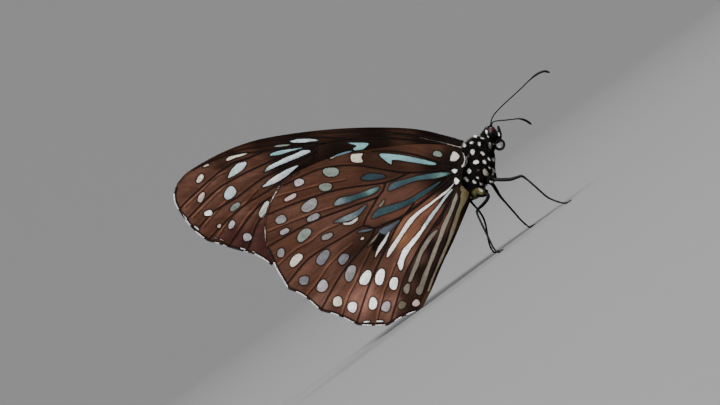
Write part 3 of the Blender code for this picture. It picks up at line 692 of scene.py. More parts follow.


# Painted highlights along creases and beside veins, painted shadow below creases, dark veins and a dark
# rim: line, millimetres where it ends and is full, strength, colour, way
WING_LINES = (
    ("crease_highlight", 0.25, 0.05, 0.8, (2.0, 1.86, 1.78, 1.0), "MULTIPLY"),
    ("crease_shade", 0.18, 0.05, 0.7, rgba((26, 9, 7)), "MIX"),
    ("vein_highlight", 0.24, 0.08, 0.45, (1.8, 1.7, 1.7, 1.0), "MULTIPLY"),
    ("vein", 0.3, 0.08, 0.86, rgba((28, 12, 8)), "MIX"),
    ("rim", 0.5, 0.24, 0.86, rgba((24, 12, 11)), "MIX"),
)


def wing_material(name):
    """Ground, creases with painted highlights and shadows, veins with painted highlights beside them,
    pale marks with scale-edged borders, and rows of scales.
    """
    material, tree, shader = shader_of(name, 0.66, specular=0.1, sheen=0.02,
                                       gloss=SCALE_GLOSS)
    rows = along_rays(tree, 0.6)
    streaks = noise(tree, along_rays(tree, 0.08), 3600.0, 2.0)
    scale_cells = cells(tree, rows, 11000.0)
    patches = noise(tree, rows, 900.0, 3.0, 0.6)
    grain = noise(tree, rows, 7000.0, 2.0)
    clouds = noise(tree, rows, 2300.0, 2.0, 0.55)
    tone = weighed(tree, patches, 0.55, scale_cells.outputs["Color"], 0.3)
    tone = combined(tree, "ADD", tone, between(tree, streaks, 0.3, 0.7, 0.42, 0.78))
    colour = mixed(tree, 1.0, attribute(tree, "ground", "Color"), tone, "MULTIPLY")
    # Painted highlights and painted shadow beside creases and veins, then the dark veins and rim
    for line, end, full, strength, paint, blend_type in WING_LINES:
        share = between(tree, attribute(tree, line), end, full, 0.0, strength)
        colour = mixed(tree, share, colour, paint, blend_type)
    uneven = combined(tree, "ADD", ragged(tree, grain, 0.13), ragged(tree, clouds, 0.2))
    edge = combined(tree, "ADD", uneven, attribute(tree, "mark"))
    halo = between(tree, edge, -0.36, -0.06, 0.0, 0.72)
    colour = mixed(tree, halo, colour, rgba((13, 5, 4)))
    tint = attribute(tree, "tint", "Color")
    for shade in (between(tree, clouds, 0.3, 0.72, 1.1, 0.74),
                  between(tree, scale_cells.outputs["Color"], 0.0, 1.0, 0.84, 1.1)):
        tint = mixed(tree, 1.0, tint, shade, "MULTIPLY")
    colour = mixed(tree, between(tree, edge, -0.04, 0.09), colour, tint)
    height = weighed(tree, grain, 0.5, scale_cells.outputs["Distance"], 0.8)
    surface(tree, shader, colour, height, COARSE_RELIEF, 0.6)
    return material


def tinted_material(name, roughness, specular, sheen, spread):
    """The colour of each tuft, a little uneven along and between tufts."""
    material, tree, shader = shader_of(name, roughness, specular, sheen, SCALE_GLOSS)
    streaks = noise(tree, places(tree), 9000.0, 2.0)
    tone = between(tree, streaks, 0.25, 0.75, 1.0 - spread, 1.0 + spread)
    colour = mixed(tree, 1.0, attribute(tree, "tint", "Color"), tone, "MULTIPLY")
    surface(tree, shader, colour, streaks, FINE_RELIEF, 0.4)
    return material


def horn_material(name, colour, shine, roughness, scale=6000.0):
    """Hard dark skin with fine pores and a paler bloom."""
    material, tree, shader = shader_of(name, roughness, specular=0.11)
    grain = noise(tree, places(tree), scale, 3.0, 0.6)
    bloom = between(tree, grain, 0.35, 0.8)
    rough = between(tree, grain, 0.2, 0.8, roughness - 0.08, roughness + 0.1)
    tree.links.new(rough, shader.inputs["Roughness"])
    shown = mixed(tree, bloom, rgba(colour), rgba(shine))
    surface(tree, shader, shown, grain, FINE_RELIEF, 0.7)
    return material


def skin_material():
    """Black skin with white dots, under the coat, and a pale belly tinted olive by painted green
    reflected light.
    """
    material, tree, shader = shader_of("body_skin", 0.7, specular=0.12)
    grain = noise(tree, places(tree), 7000.0, 3.0)
    dark = mixed(tree, grain, rgba((5, 3, 3)), rgba((16, 10, 9)))
    # Pale belly skin, tinted olive by painted green reflected light
    colour = mixed(tree, attribute(tree, "belly"), dark, rgba((110, 104, 66)))
    mark = combined(tree, "ADD", attribute(tree, "mark"), ragged(tree, grain, 0.12))
    colour = mixed(tree, between(tree, mark, -0.03, 0.05), colour,
                   attribute(tree, "tint", "Color"))
    surface(tree, shader, colour, grain, COARSE_RELIEF, 0.6)
    return material


def eye_material():
    """Fine facets, near black, with a painted red sheen on top."""
    material, tree, shader = shader_of("eye_facets", 0.38, specular=0.15)
    spots = places(tree)
    facets = cells(tree, spots, 22000.0)
    # Painted sheen: the eye turns dark red towards its top, where the light falls
    painted_sheen = between(tree, attribute(tree, "top"), -0.1, 0.8)
    patches = noise(tree, spots, 2600.0, 3.0)
    painted_sheen = combined(tree, "MULTIPLY", painted_sheen, between(tree, patches, 0.3, 0.7, 0.35, 1.0))
    colour = mixed(tree, painted_sheen, rgba((9, 3, 4)), rgba((108, 40, 52)))
    colour = mixed(tree, between(tree, facets.outputs["Distance"], 0.3, 0.7, 0.0, 0.4),
                   colour, rgba((7, 3, 3)))
    surface(tree, shader, colour, facets.outputs["Distance"], -FINE_RELIEF, 0.5)
    return material


def tongue_highlight_material():
    """The tongue: black outside, its inner turn pale with a painted highlight."""
    material, tree, shader = shader_of("tongue", 0.5, specular=0.25)
    grain = noise(tree, places(tree), 9000.0, 2.0)
    pale = mixed(tree, grain, rgba((176, 166, 164)), rgba((244, 238, 236)))
    # The inner turn's pale colour is a painted highlight on the tongue's lit side
    share = between(tree, attribute(tree, "inner"), 0.46, 0.58)
    colour = mixed(tree, share, rgba((9, 6, 6)), pale)
    surface(tree, shader, colour, grain, FINE_RELIEF, 0.5)
    return material


# Body form, shared by the skin and by the wings that bulge round it

HEAD = [
    ((488.6, 137.2), 0.0006, 0.0006), ((489.6, 136.0), 0.00095, 0.00095),
    ((491.6, 134.3), 0.00115, 0.0011), ((493.6, 132.9), 0.00095, 0.001), ((495.2, 131.8), 0.0005, 0.0006),
    ((495.7, 131.4), 0.0002, 0.0003),
]
THORAX = [
    ((487.4, 139.2), 0.0007, 0.0007), ((486.4, 141.2), 0.00125, 0.0012),
    ((484.2, 144.8), 0.00175, 0.0017), ((480.8, 150.5), 0.0023, 0.0022),
    ((477.4, 158.5), 0.00265, 0.0025), ((475.0, 166.5), 0.00265, 0.0025),
    ((472.6, 174.5), 0.0025, 0.0023), ((470.9, 180.8), 0.0022, 0.0019), ((469.5, 186.2), 0.0019, 0.0016),
]
ABDOMEN = [
    ((465.0, 187.6), 0.00125, 0.00125), ((462.4, 196.5), 0.00128, 0.00132),
    ((456.6, 212.5), 0.00138, 0.00138), ((449.5, 232.0), 0.0013, 0.0013),
    ((441.5, 252.5), 0.0011, 0.0011), ((435.0, 268.5), 0.0009, 0.0009),
    ((431.4, 277.5), 0.00062, 0.00062), ((429.8, 281.5), 0.0003, 0.0003),
]
STATION_REACH = 1.6 * STATION_STEP
BLEND = 6
COAT_DEPTH = 0.00012

# Pale dots of the body in the side view: centre, length, width, turn, colour
BODY_DOTS = [
    ((464.6, 145.3), 4.2, 3.2, 80, "white"), ((471.9, 142.7), 4.2, 2.4, 22, "white"),
    ((476.0, 136.0), 4.2, 2.7, 55, "white"), ((482.6, 138.3), 3.6, 2.3, -20, "white"),
    ((479.3, 143.9), 4.6, 3.1, 100, "white"), ((472.4, 152.0), 6.4, 5.0, 110, "white"),
    ((482.6, 153.5), 6.2, 2.8, -40, "blush"), ((475.9, 162.2), 6.4, 4.9, 5, "white"),
    ((484.4, 161.9), 4.8, 3.7, -35, "white"), ((488.9, 159.2), 4.2, 2.2, -55, "white"),
    ((493.4, 159.4), 5.0, 3.0, 90, "white"), ((489.5, 167.4), 3.8, 2.2, 110, "white"),
    ((478, 170.3), 2.2, 1.8, 0, "slate"), ((493.8, 170.8), 6.6, 3.6, 115, "white"),
    ((490.2, 146.1), 7.2, 3.1, 96, "lilac"), ((468.9, 171.2), 5.6, 5.0, 120, "white"),
    ((485.6, 172.6), 9.2, 5.3, -52, "ivory"), ((466, 179.2), 7.4, 3.4, -45, "white"),
    ((477.2, 177.7), 4.2, 2.0, -25, "white"), ((474.5, 182.2), 4.8, 2.9, -25, "white"),
    ((481.5, 184.1), 4.8, 1.9, -10, "blush"), ((486.8, 187.5), 5.2, 2.9, -60, "white"),
    ((491.3, 181.7), 4.8, 2.4, -5, "white"), ((480.7, 190.0), 6.4, 2.8, -42, "ivory"),
    ((486.8, 132.2), 5.4, 2.7, -72, "white"), ((488.4, 136.4), 3.8, 1.9, -52, "white"),
    ((494.9, 127.9), 2.8, 2.2, 0, "blush"), ((466.2, 159.8), 9.0, 2.2, 94, "white"),
    ((468.2, 156.2), 5.6, 1.0, 82, "stone"), ((463.9, 165.4), 4.6, 3.0, 40, "white"),
    ((476.2, 171.6), 1.6, 1.2, 0, "dusk"),
]

# The furred body in the side view, which the coat's tips reach
BODY_OUTLINE = [
    (464, 142.7), (466, 142), (470, 140.4), (472.5, 138.6), (474, 136.2), (475.5, 134), (480, 134.2),
    (482, 131), (484, 129.8), (487, 127.5), (489, 126.2), (493, 125.8), (496.4, 126.6), (497.4, 131),
    (497.4, 138), (494.4, 143), (493.4, 150), (493.4, 158), (493.4, 165), (494.0, 169), (495.6, 174),
    (496.6, 178), (495.6, 182.4), (490.5, 185), (489.6, 190), (487.6, 195.5), (480, 197.6), (473, 197.6),
    (471, 193), (470, 189), (466, 186), (462, 183), (461, 170), (462, 155),
]


def body_stations(step):
    """Rows of x, z, half depth and half width of thorax and abdomen, as in the solids."""
    parts = []
    for stations in (THORAX, ABDOMEN):
        rows = [(*side(pixel), depth, width) for pixel, depth, width in stations]
        parts.append(smooth(rows, step))
    return np.vstack(parts)


BODY_ROWS = body_stations(STATION_STEP)


def line_tangents(path):
    """Directions along a line, one for each of its points."""
    return unit(np.gradient(path, axis=0))


def above(offset, tangents):
    """How far offsets from a line in the side view reach to its upper side."""
    return offset[..., 1] * tangents[..., 0] - offset[..., 0] * tangents[..., 1]


def hindwing_level(points):
    """Distance of the hindwing from the middle plane: flat, and bulged round the body."""
    tangents = line_tangents(BODY_ROWS[:, :2])
    offset = points[:, None, :] - BODY_ROWS[None, :, :2]
    along = np.abs((offset * tangents).sum(axis=2))
    share = np.clip(above(offset, tangents) / (BODY_ROWS[:, 2] + GAP), -1, 1)
    near = np.clip((STATION_REACH - along) / STATION_STEP, 0, 1)
    reach = (near * BODY_ROWS[:, 3] * np.sqrt(1 - share ** 2)).max(axis=1)
    clear = reach + GAP + VEIN_RAISE + MEMBRANE / 2 + SLOPE_ALLOWANCE
    return (HINDWING_LEVEL ** BLEND + clear ** BLEND) ** (1 / BLEND)


def forewing_level(points):
    """Distance of the forewing from the middle plane, the same everywhere."""
    return np.full(len(points), FOREWING_LEVEL)


# Wings: sheets, their points, and veins

SHEET = 0.00011
SHARP = math.radians(60)
LINE_STEP = 0.0005
RIM_STEP = 0.00022
RIM_INSET = 0.00002
RIM_PROBE = 60
LATTICE = 0.00026
FINE_LATTICE = 0.00013
ROW_SPACING = 0.866
EDGE_CLEAR = 0.6
WELD = 1e-8
VEIN_ROOT = 0.00014
VEIN_TIP = 0.00006
VEIN_SIDES = 8

# The sheets rise between their veins and wave slowly
PILLOW = 0.00015
PILLOW_REACH = 0.8
WAVE = 0.00006
WAVE_ALONG = 0.0042
WAVE_UP = 0.0051

# What is painted on them, in millimetres where it is a depth
CREASE_REACH = 0.0003
FINE_DEPTH = -0.22
BAND_EDGE = 0.4
GLINT = 0.75
GROUND_BLUR = 1.2 * MM
# How far the painted highlight beside each vein is shifted, in shares of the line shift
VEIN_HIGHLIGHT_SHIFT = 0.8

# A line's dark side lies down and to the right of it in the photograph
LINE_SHIFT = SCALE * 1.25 * np.array([math.cos(FLOOR_SLOPE) - math.sin(FLOOR_SLOPE),
                                      -math.sin(FLOOR_SLOPE) - math.cos(FLOOR_SLOPE)])

# Fringe: three layers of scales, each sunk a little deeper and reaching a little farther
FRINGE = 0.00022
FRINGE_SPACING = 0.00006
FRINGE_LAYERS = 3
FRINGE_SINK = 0.00005
FRINGE_LAYER = 0.00004
FRINGE_JITTER = 0.16
FRINGE_APART = 0.45
FRINGE_TILT = 0.1
FRINGE_LENGTHS = (0.72, 0.98)
FRINGE_WIDTHS = (0.00007, 0.00012)
FRINGE_SHADES = (0.42, 0.92)
FRINGE_DARK = (30, 15, 12)
WHITE_LENGTH = 0.96
DARK_LENGTH = 0.84
WHITE_REACH = 0.8 * MM
FLOOR_CLEAR = 0.00002

# One scale: where its blade is widest, its thickness, and its patch of the bake map
BLADE = 0.62
SCALE_THICKNESS = 0.00002
PATCH = 0.003
PATCH_EDGE = 0.001
PATCH_CORNERS = np.array([(0.5, 0.0), (1.0, 0.6), (0.5, 0.5), (0.0, 0.6), (0.5, 0.7), (0.5, 1.0)])


class Wing:
    """One kind of wing: its rim, marks, veins and creases in the side view."""

    def __init__(self, edges, veins, creases, spots, streaks, glints, dashes, lines, bands,
                 whites, ground, level):
        self.level = level
        self.veins = [smooth(side(line), LINE_STEP) for line in veins]
        self.creases = [smooth(side(line), LINE_STEP) for line in creases]
        loops = [(oval_loop(*spot[:4], UNEVEN), spot[4]) for spot in spots]
        loops += [(rounded_loop(points), key) for points, key in streaks]
        loops += [(dash_loop(*ends, DASH_WIDTH), "white") for ends in dashes]
        loops += [(dash_loop(*line[:3]), line[3]) for line in lines]
        self.marks = [(side(loop), linear(PALE[key])) for loop, key in loops]
        self.bands = [(side(rounded_loop(band)), linear(GROUND["soot"])) for band in bands]
        self.glints = [(side(spot), reach * SCALE, linear(PALE[key]))
                       for spot, reach, key in glints]
        self.whites = [side(ends) for ends in whites]
        self.ground = [(side(spots), linear(GROUND[key])) for key, spots in ground.items()]
        runs = [smooth(side(pixels), RIM_STEP)[:-1] for _, pixels in edges]
        self.fringed = np.repeat([has_fringe for has_fringe, _ in edges],
                                 [len(run) for run in runs])
        outer = np.vstack(runs)
        outer[:, 1] = np.maximum(outer[:, 1], 0.0)
        ahead = unit(np.roll(outer, -2, axis=0) - np.roll(outer, 2, axis=0))
        self.inward = np.column_stack([ahead[:, 1], -ahead[:, 0]])
        probe = outer[RIM_PROBE] + 2 * RIM_STEP * self.inward[RIM_PROBE]
        if not is_inside(probe[None], outer)[0]:
            self.inward = -self.inward
        self.rim = outer + self.inward * self.rim_depth()[:, None]

    def rim_depth(self):
        """How far the membrane ends short of the outline: more where scales fringe it."""
        share = self.fringed.astype(float)
        for _ in range(3):
            share = (np.roll(share, 1) + share + np.roll(share, -1)) / 3
        return share * FRINGE + RIM_INSET

    def ground_colour(self, points):
        """The ground colours blended by closeness to their named places, and dark bands."""
        total = np.zeros((len(points), 3))
        weights = np.zeros(len(points))
        for spots, colour in self.ground:
            away = ((points[:, None] - spots) ** 2).sum(axis=2) + GROUND_BLUR ** 2
            weight = (1 / away ** 2).sum(axis=1)
            total += weight[:, None] * colour
            weights += weight
        depth, dark = nearest_mark(points, self.bands)
        share = np.clip(0.5 + depth / BAND_EDGE, 0, 1)[:, None]
        return total / weights[:, None] * (1 - share) + dark * share

    def mark_colour(self, points):
        """Depth into the nearest pale mark, and its colour with the glints over it."""
        depth, tint = nearest_mark(points, self.marks)
        for spot, reach, colour in self.glints:
            away = ((points - spot) ** 2).sum(axis=1) / reach ** 2
            share = GLINT * np.exp(-away)[:, None]
            tint = tint * (1 - share) + colour * share
        return depth, tint

    def lattice(self):
        """Evenly spread points inside the rim, closer together near marks and creases."""
        low = self.rim.min(axis=0)
        high = self.rim.max(axis=0)
        found = []
        for cell, fine in ((LATTICE, False), (FINE_LATTICE, True)):
            xs = np.arange(low[0], high[0], cell)
            zs = np.arange(low[1], high[1], cell * ROW_SPACING)
            grid = np.stack(np.meshgrid(xs, zs), axis=-1)
            grid[1::2, :, 0] += cell / 2
            points = grid.reshape(-1, 2)
            points = points[is_inside(points, self.rim)]
            points = points[line_distance(points, closed(self.rim)) > EDGE_CLEAR * cell]
            busy = nearest_mark(points, self.marks)[0] > FINE_DEPTH
            busy |= lines_distance(points, self.creases) < CREASE_REACH
            found.append(points[busy if fine else ~busy])
        return np.vstack(found)

    def build(self):
        """Points, triangles and painted values of the wing in the side view."""
        points = np.vstack([self.rim, self.lattice()])
        border = [list(range(len(self.rim)))]
        result = delaunay_2d_cdt([tuple(p) for p in points], [], border, 1, WELD, False)
        points = np.array([tuple(p) for p in result[0]])
        triangles = np.array([f for f in result[2] if len(f) == 3])
        triangles = triangles[is_inside(points[triangles].mean(axis=1), self.rim)]
        a, b, c = (points[triangles[:, k]] for k in range(3))
        turn = np.cross(b - a, c - a)
        triangles[turn < 0] = triangles[turn < 0][:, ::-1]
        self.points = points
        self.triangles = triangles
        self.middle = self.middle_of(points)
        margin = closed(self.rim)[np.append(self.fringed, False)]
        mark, self.tint = self.mark_colour(points)
        self.ground_tint = self.ground_colour(points)
        # Distances that place the painted highlights along creases and beside veins, and the painted
        # shadow below creases
        self.painted = {
            "vein": lines_distance(points, self.veins) / MM,
            "crease_highlight": lines_distance(points, self.creases) / MM,
            "mark": mark,
            "crease_shade": lines_distance(points - LINE_SHIFT, self.creases) / MM,
            "vein_highlight": lines_distance(points + VEIN_HIGHLIGHT_SHIFT * LINE_SHIFT, self.veins) / MM,
            "rim": line_distance(points, margin) / MM,
        }

    def middle_of(self, points):
        """Distance of the sheet's middle from the plane between the wings."""
        gap = lines_distance(points, self.veins) / MM
        pillow = PILLOW * (1 - np.exp(-(gap / PILLOW_REACH) ** 2))
        wave = np.sin(points[:, 0] / WAVE_ALONG + 1.0) * np.sin(points[:, 1] / WAVE_UP)
        return self.level(points) + (pillow + WAVE * wave)


def outline_walls(triangles, count):
    """Triangles that join the two faces of a sheet round its edge."""
    edges = np.vstack([triangles[:, [0, 1]], triangles[:, [1, 2]], triangles[:, [2, 0]]])
    keys = np.sort(edges, axis=1)
    _, index, uses = np.unique(keys, axis=0, return_index=True, return_counts=True)
    single = edges[index[uses == 1]]
    a, b = single[:, 0], single[:, 1]
    return np.vstack([np.column_stack([b, a, count + a]),
                      np.column_stack([b, count + a, count + b])])


def add_membrane(name, wing, hand, material, slot, node):
    """The wing's sheet, its faces alike, with the painted values on both."""
    outer = stood_out(wing.points, wing.middle + SHEET / 2, hand)
    inner = stood_out(wing.points, wing.middle - SHEET / 2, hand)
    count = len(outer)
    facing = wing.triangles if hand == RIGHT else wing.triangles[:, ::-1]
    skins = np.vstack([facing, count + facing[:, ::-1], outline_walls(facing, count)])
    mesh = new_mesh(name, np.vstack([outer, inner]), skins)
    mesh.set_sharp_from_angle(angle=SHARP)
    for key, values in wing.painted.items():
        set_numbers(mesh, key, np.tile(values, 2))
    set_colours(mesh, "ground", np.tile(wing.ground_tint, (2, 1)))
    set_colours(mesh, "tint", np.tile(wing.tint, (2, 1)))
    place(mesh, material, slot, node)


def ring_triangles(rings, sides):
    """Triangles over rings of points and over the two end points that follow them."""
    i = np.arange(sides)
    j = (i + 1) % sides
    triangles = []
    for a, b in ((r * sides + i, r * sides + j) for r in range(rings - 1)):
        triangles += [np.column_stack([a, b, b + sides]),
                      np.column_stack([a, b + sides, a + sides])]
    start = np.full(sides, rings * sides)
    last = (rings - 1) * sides
    triangles += [np.column_stack([j, i, start]), np.column_stack([last + i, last + j, start + 1])]
    return np.vstack(triangles)


def tube_arrays(rows, sides):
    """Vertices and triangles of a closed tube along rows of x, y, z and radius."""
    rows = np.asarray(rows)
    path = rows[:, :3]
    across = np.array([0.0, 1.0, 0.0])
    turns = 2 * math.pi * np.arange(sides) / sides
    rings = []
    for centre, tangent, radius in zip(path, line_tangents(path), rows[:, 3]):
        across = across - tangent * np.dot(across, tangent)
        across = across / np.linalg.norm(across)
        upward = np.cross(across, tangent)
        rings.append(centre + radius * (np.cos(turns)[:, None] * across
                                        + np.sin(turns)[:, None] * upward))
    vertices = np.vstack(rings + [path[:1], path[-1:]])
    return vertices, ring_triangles(len(rings), sides)[:, [0, 2, 1]]


def joined(pieces):
    """Arrays of several meshes as one."""
    vertices = []
    triangles = []
    start = 0
    for points, faces in pieces:
        vertices.append(points)
        triangles.append(faces + start)
        start += len(points)
    return np.vstack(vertices), np.vstack(triangles)


def add_veins(name, wing, hand, material, slot):
    """Each vein as a tapered tube half sunk in the membrane."""
    tubes = []
    for vein in wing.veins:
        line = vein[is_inside(vein, wing.rim)]
        radii = np.linspace(VEIN_ROOT, VEIN_TIP, len(line))
        radii[-1] *= 0.5
        path = stood_out(line, wing.middle_of(line), hand)
        tubes.append(tube_arrays(np.column_stack([path, radii]), VEIN_SIDES))
    place(new_mesh(name, *joined(tubes)), material, slot)


def vane_arrays(roots, directions, faces, lengths, widths, thickness):
    """Flat tapered scales: six points and eight triangles each, closed."""
    sideways = unit(np.cross(directions, faces))
    flat = np.cross(sideways, directions)
    lengths = np.asarray(lengths)[:, None]
    widths = np.asarray(widths)[:, None]
    middle = roots + BLADE * lengths * directions
    corners = [roots, middle + 0.5 * widths * sideways, middle + 0.5 * thickness * flat,
               middle - 0.5 * widths * sideways, middle - 0.5 * thickness * flat,
               roots + lengths * directions]
    vertices = np.stack(corners, axis=1).reshape(-1, 3)
    pattern = np.array([(0, 1, 2), (0, 2, 3), (0, 3, 4), (0, 4, 1),
                        (5, 2, 1), (5, 3, 2), (5, 4, 3), (5, 1, 4)])
    triangles = (pattern[None] + 6 * np.arange(len(roots))[:, None, None]).reshape(-1, 3)
    return vertices, triangles


def add_scales(name, roots, directions, faces, lengths, widths, tints, spots, material, slot):
    """Scales as one mesh, each with its colour and its own patch of the bake map."""
    mesh = new_mesh(name, *vane_arrays(roots, directions, faces, lengths, widths,
                                       SCALE_THICKNESS))
    set_colours(mesh, "tint", np.repeat(tints, 6, axis=0))
    corners = np.asarray(spots)[:, None, :] + PATCH * (PATCH_CORNERS - 0.5)
    by_vertex = np.clip(corners.reshape(-1, 2), PATCH_EDGE, 1 - PATCH_EDGE)
    layer = mesh.uv_layers.new(name="OFBake")
    order = np.zeros(len(mesh.loops), np.int32)
    mesh.loops.foreach_get("vertex_index", order)
    layer.uv.foreach_set("vector", by_vertex[order].astype(np.float32).ravel())
    place(mesh, material, slot)


def inset_map(rows, border=0.02):
    """Shares of the bake map, kept clear of its border."""
    return border + (1 - 2 * border) * rows


def white_share(points, whites):
    """Which places of a margin lie beside one of its white stretches."""
    found = np.zeros(len(points), bool)
    for start, end in whites:
        run = end - start
        share = ((points - start) @ run) / (run @ run)
        away = np.linalg.norm(points - start - share[:, None] * run, axis=1)
        found |= (share > 0) & (share < 1) & (away < WHITE_REACH)
    return found


def margin_places(wing):
    """Places along the fringed margin, their outward directions and shares of the rim."""
    rim = closed(wing.rim)
    travel = np.concatenate([[0], np.cumsum(np.linalg.norm(np.diff(rim, axis=0), axis=1))])
    stops = np.arange(0, travel[-1], FRINGE_SPACING)
    index = np.minimum(np.searchsorted(travel, stops, side="right") - 1, len(wing.rim) - 1)
    keep = wing.fringed[index]
    stops, index = stops[keep], index[keep]
    base = np.column_stack([np.interp(stops, travel, rim[:, k]) for k in range(2)])
    return base, -wing.inward[index], stops / travel[-1]


def add_fringe(name, wing, hand, material, slot):
    """Rows of long scales along the margin, dark and white by turns."""
    base, outward, share = margin_places(wing)
    count = len(base)
    white = white_share(base, wing.whites)
    lists = []
    for layer in range(FRINGE_LAYERS):
        apart = layer - 1
        turned = swung(outward, RANDOM.normal(0, FRINGE_JITTER, count))
        spot = base - outward * (FRINGE_SINK + FRINGE_LAYER * layer)
        roots = stood_out(spot, wing.middle_of(spot) + apart * SHEET * FRINGE_APART, hand)
        tilt = np.full(count, apart * FRINGE_TILT * hand)
        directions = unit(np.column_stack([turned[:, 0], tilt, turned[:, 1]]))
        lengths = FRINGE + FRINGE_SINK + FRINGE_LAYER * layer
        lengths = lengths * RANDOM.uniform(*FRINGE_LENGTHS, count)
        lengths = np.where(white, WHITE_LENGTH * lengths, DARK_LENGTH * lengths)
        shade = RANDOM.uniform(*FRINGE_SHADES, (count, 1))
        tints = np.where(white[:, None], linear(PALE["white"]), linear(FRINGE_DARK)) * shade
        uv = np.column_stack([inset_map(share), np.full(count, 0.2 + 0.3 * layer)])
        keep = roots[:, 2] + directions[:, 2] * lengths > FLOOR_CLEAR
        lists.append([rows[keep] for rows in (roots, directions, lengths, tints, uv)])
    roots, directions, lengths, tints, uv = (np.concatenate(rows) for rows in zip(*lists))
    faces = np.tile([0.0, float(hand), 0.0], (len(roots), 1))
    widths = RANDOM.uniform(*FRINGE_WIDTHS, len(roots))
    add_scales(name, roots, directions, faces, lengths, widths, tints, uv, material, slot)


def build_wings():
    """Both kinds of wing, right and left: sheet, veins and fringe."""
    wings = {
        "forewing": Wing(FOREWING_EDGES, FOREWING_VEINS, FOREWING_CREASES, FOREWING_SPOTS,
                         FOREWING_STREAKS, FOREWING_GLINTS, FOREWING_DASHES, FOREWING_LINES,
                         FOREWING_BANDS, FOREWING_WHITE, FOREWING_GROUND, forewing_level),
        "hindwing": Wing(HINDWING_EDGES, HINDWING_VEINS, HINDWING_CREASES, HINDWING_SPOTS,
                         HINDWING_STREAKS, HINDWING_GLINTS, HINDWING_DASHES, HINDWING_LINES,
                         HINDWING_BANDS, HINDWING_WHITE, HINDWING_GROUND, hindwing_level),
    }
    vein_horn = horn_material("wing_vein", (18, 8, 6), (44, 22, 15), 0.65, 5000.0)
    fringe = tinted_material("wing_fringe", 0.6, 0.15, 0.1, 0.2)
    for kind, wing in wings.items():
        wing.build()
        material = wing_material(kind + "_scales")
        for hand, tail in HANDS:
            name = f"{kind}_{tail}"
            add_membrane(name + "_membrane", wing, hand, material, kind, name)
            add_veins(name + "_veins", wing, hand, vein_horn, kind)
            add_fringe(name + "_fringe", wing, hand, fringe, kind)
    return wings


# Body skin, and the coat's roots on it

SKIN_STEP = 0.00013
SKIN_SIDES = 96
SKIN_THINNEST = 0.00012
TAIL_TIP = 0.0002
HEAD_WIDTH = 0.0009
ABDOMEN_RINGS = 7
RING_PINCH = 0.06
DOT_SIZE = 0.84
WAIST = (467.5, 187.4)
NECK = (487.6, 138.6)

# Pale scales tinted olive by painted green reflected light: round the hips, and behind this place on the
# abdomen's underside
HIPS = (478.5, 194.5)
HIPS_REACH = 1.25
HIPS_EDGE = 0.5
HIPS_GREEN_LIGHT = 0.85
BEHIND = (467, 187)
BEHIND_EDGE = 1.5 * MM
UNDER_EDGE = 0.5 * MM
UNDER_GREEN_LIGHT = 0.8
BLACK_SCALES = (12, 5, 4)
GREEN_LIT_SCALES = (150, 144, 90)
SCALE_SHADES = (0.6, 1.4)

# Coat: how scales swing aside and lift in degrees, how they fill the outline, and their sizes
SWING = 0.24
LIFT_SPREAD = 6
LIFT_RANGE = (4, 75)
ROOT_DEPTH = 0.00003
BLADE_PLACE = 0.7
FLAT_LIFT = 18
STEEP_LIFT = 38
STEEP_ROOM = 0.00028
PROFILE_GAIN = 1.6
ROOM_GAIN = 1.9
HEAD_LIFT = 14
ABDOMEN_LIFT = 12
PALE_WIDENING = 1.25
THORAX_SCALES = 24000
HEAD_SCALES = 5600
ABDOMEN_SCALES = 7000
THORAX_LENGTHS = (0.00024, 0.0009)
HEAD_LENGTHS = (0.00018, 0.00055)
ABDOMEN_LENGTH = 0.00024
THORAX_WIDTH = 0.000082
HEAD_SCALE_WIDTH = 0.00005
ABDOMEN_WIDTH = 0.0001


def skin_rows():
    """Rows of x, z, half depth and half width from the tail's tip to the brow, with no seam."""
    trunk = ABDOMEN[::-1] + THORAX[:0:-1]
    rows = [(*side(p), depth - COAT_DEPTH, width - COAT_DEPTH) for p, depth, width in trunk]
    rows[0] = (*rows[0][:2], TAIL_TIP, TAIL_TIP)
    rows += [(*side(p), depth, min(width, HEAD_WIDTH)) for p, depth, width in HEAD[1:-1]]
    rows = smooth(rows, SKIN_STEP)
    waist = rows[:, 0] < side(ABDOMEN[0][0])[0]
    places_along = np.linspace(0, ABDOMEN_RINGS, waist.sum())
    pinch = 1 - RING_PINCH * np.abs(np.cos(math.pi * places_along)) ** 6
    rows[waist, 2:] *= pinch[:, None]
    rows[:, 2:] = np.maximum(rows[:, 2:], SKIN_THINNEST)
    return rows


def body_marks():
    """The body's pale dots as outlines in metres, with their colours."""
    marks = []
    for spot, length, width, turn, key in BODY_DOTS:
        loop = oval_loop(spot, DOT_SIZE * length, DOT_SIZE * width, turn, UNEVEN)
        marks.append((side(loop), linear(PALE[key])))
    return marks


def green_light_share(points):
    """How much painted green reflected light tints the body olive: below and behind the thorax, and on
    the abdomen's underside.
    """
    flat = points[:, [0, 2]]
    away = np.linalg.norm(flat - side(HIPS), axis=1) / MM
    near_hips = np.clip((HIPS_REACH - away) / HIPS_EDGE, 0, 1)
    behind = np.clip((side(BEHIND)[0] - flat[:, 0]) / BEHIND_EDGE, 0, 1)
    line = BODY_ROWS[:, :2]
    nearest = ((flat[:, None] - line[None]) ** 2).sum(axis=2).argmin(axis=1)
    rise = above(flat - line[nearest], line_tangents(line)[nearest])
    under = np.clip(rise / UNDER_EDGE + 0.2, 0, 1)
    return np.clip(np.maximum(HIPS_GREEN_LIGHT * near_hips, behind * under * UNDER_GREEN_LIGHT), 0, 1)


def paint_body(points):
    """The colours of the coat, pale dots on black and on pale scales tinted olive by painted green
    reflected light, and which scales are pale.
    """
    depth, tint = nearest_mark(points[:, [0, 2]], body_marks())
    shade = RANDOM.uniform(*SCALE_SHADES, (len(points), 1))
    share = green_light_share(points)[:, None]
    # Black scales, or pale scales tinted olive by painted green reflected light
    ground = (linear(BLACK_SCALES) * (1 - share) + linear(GREEN_LIT_SCALES) * share) * shade
    return np.where(depth[:, None] > 0, tint * np.clip(shade, 0.9, 1.1), ground), depth > 0


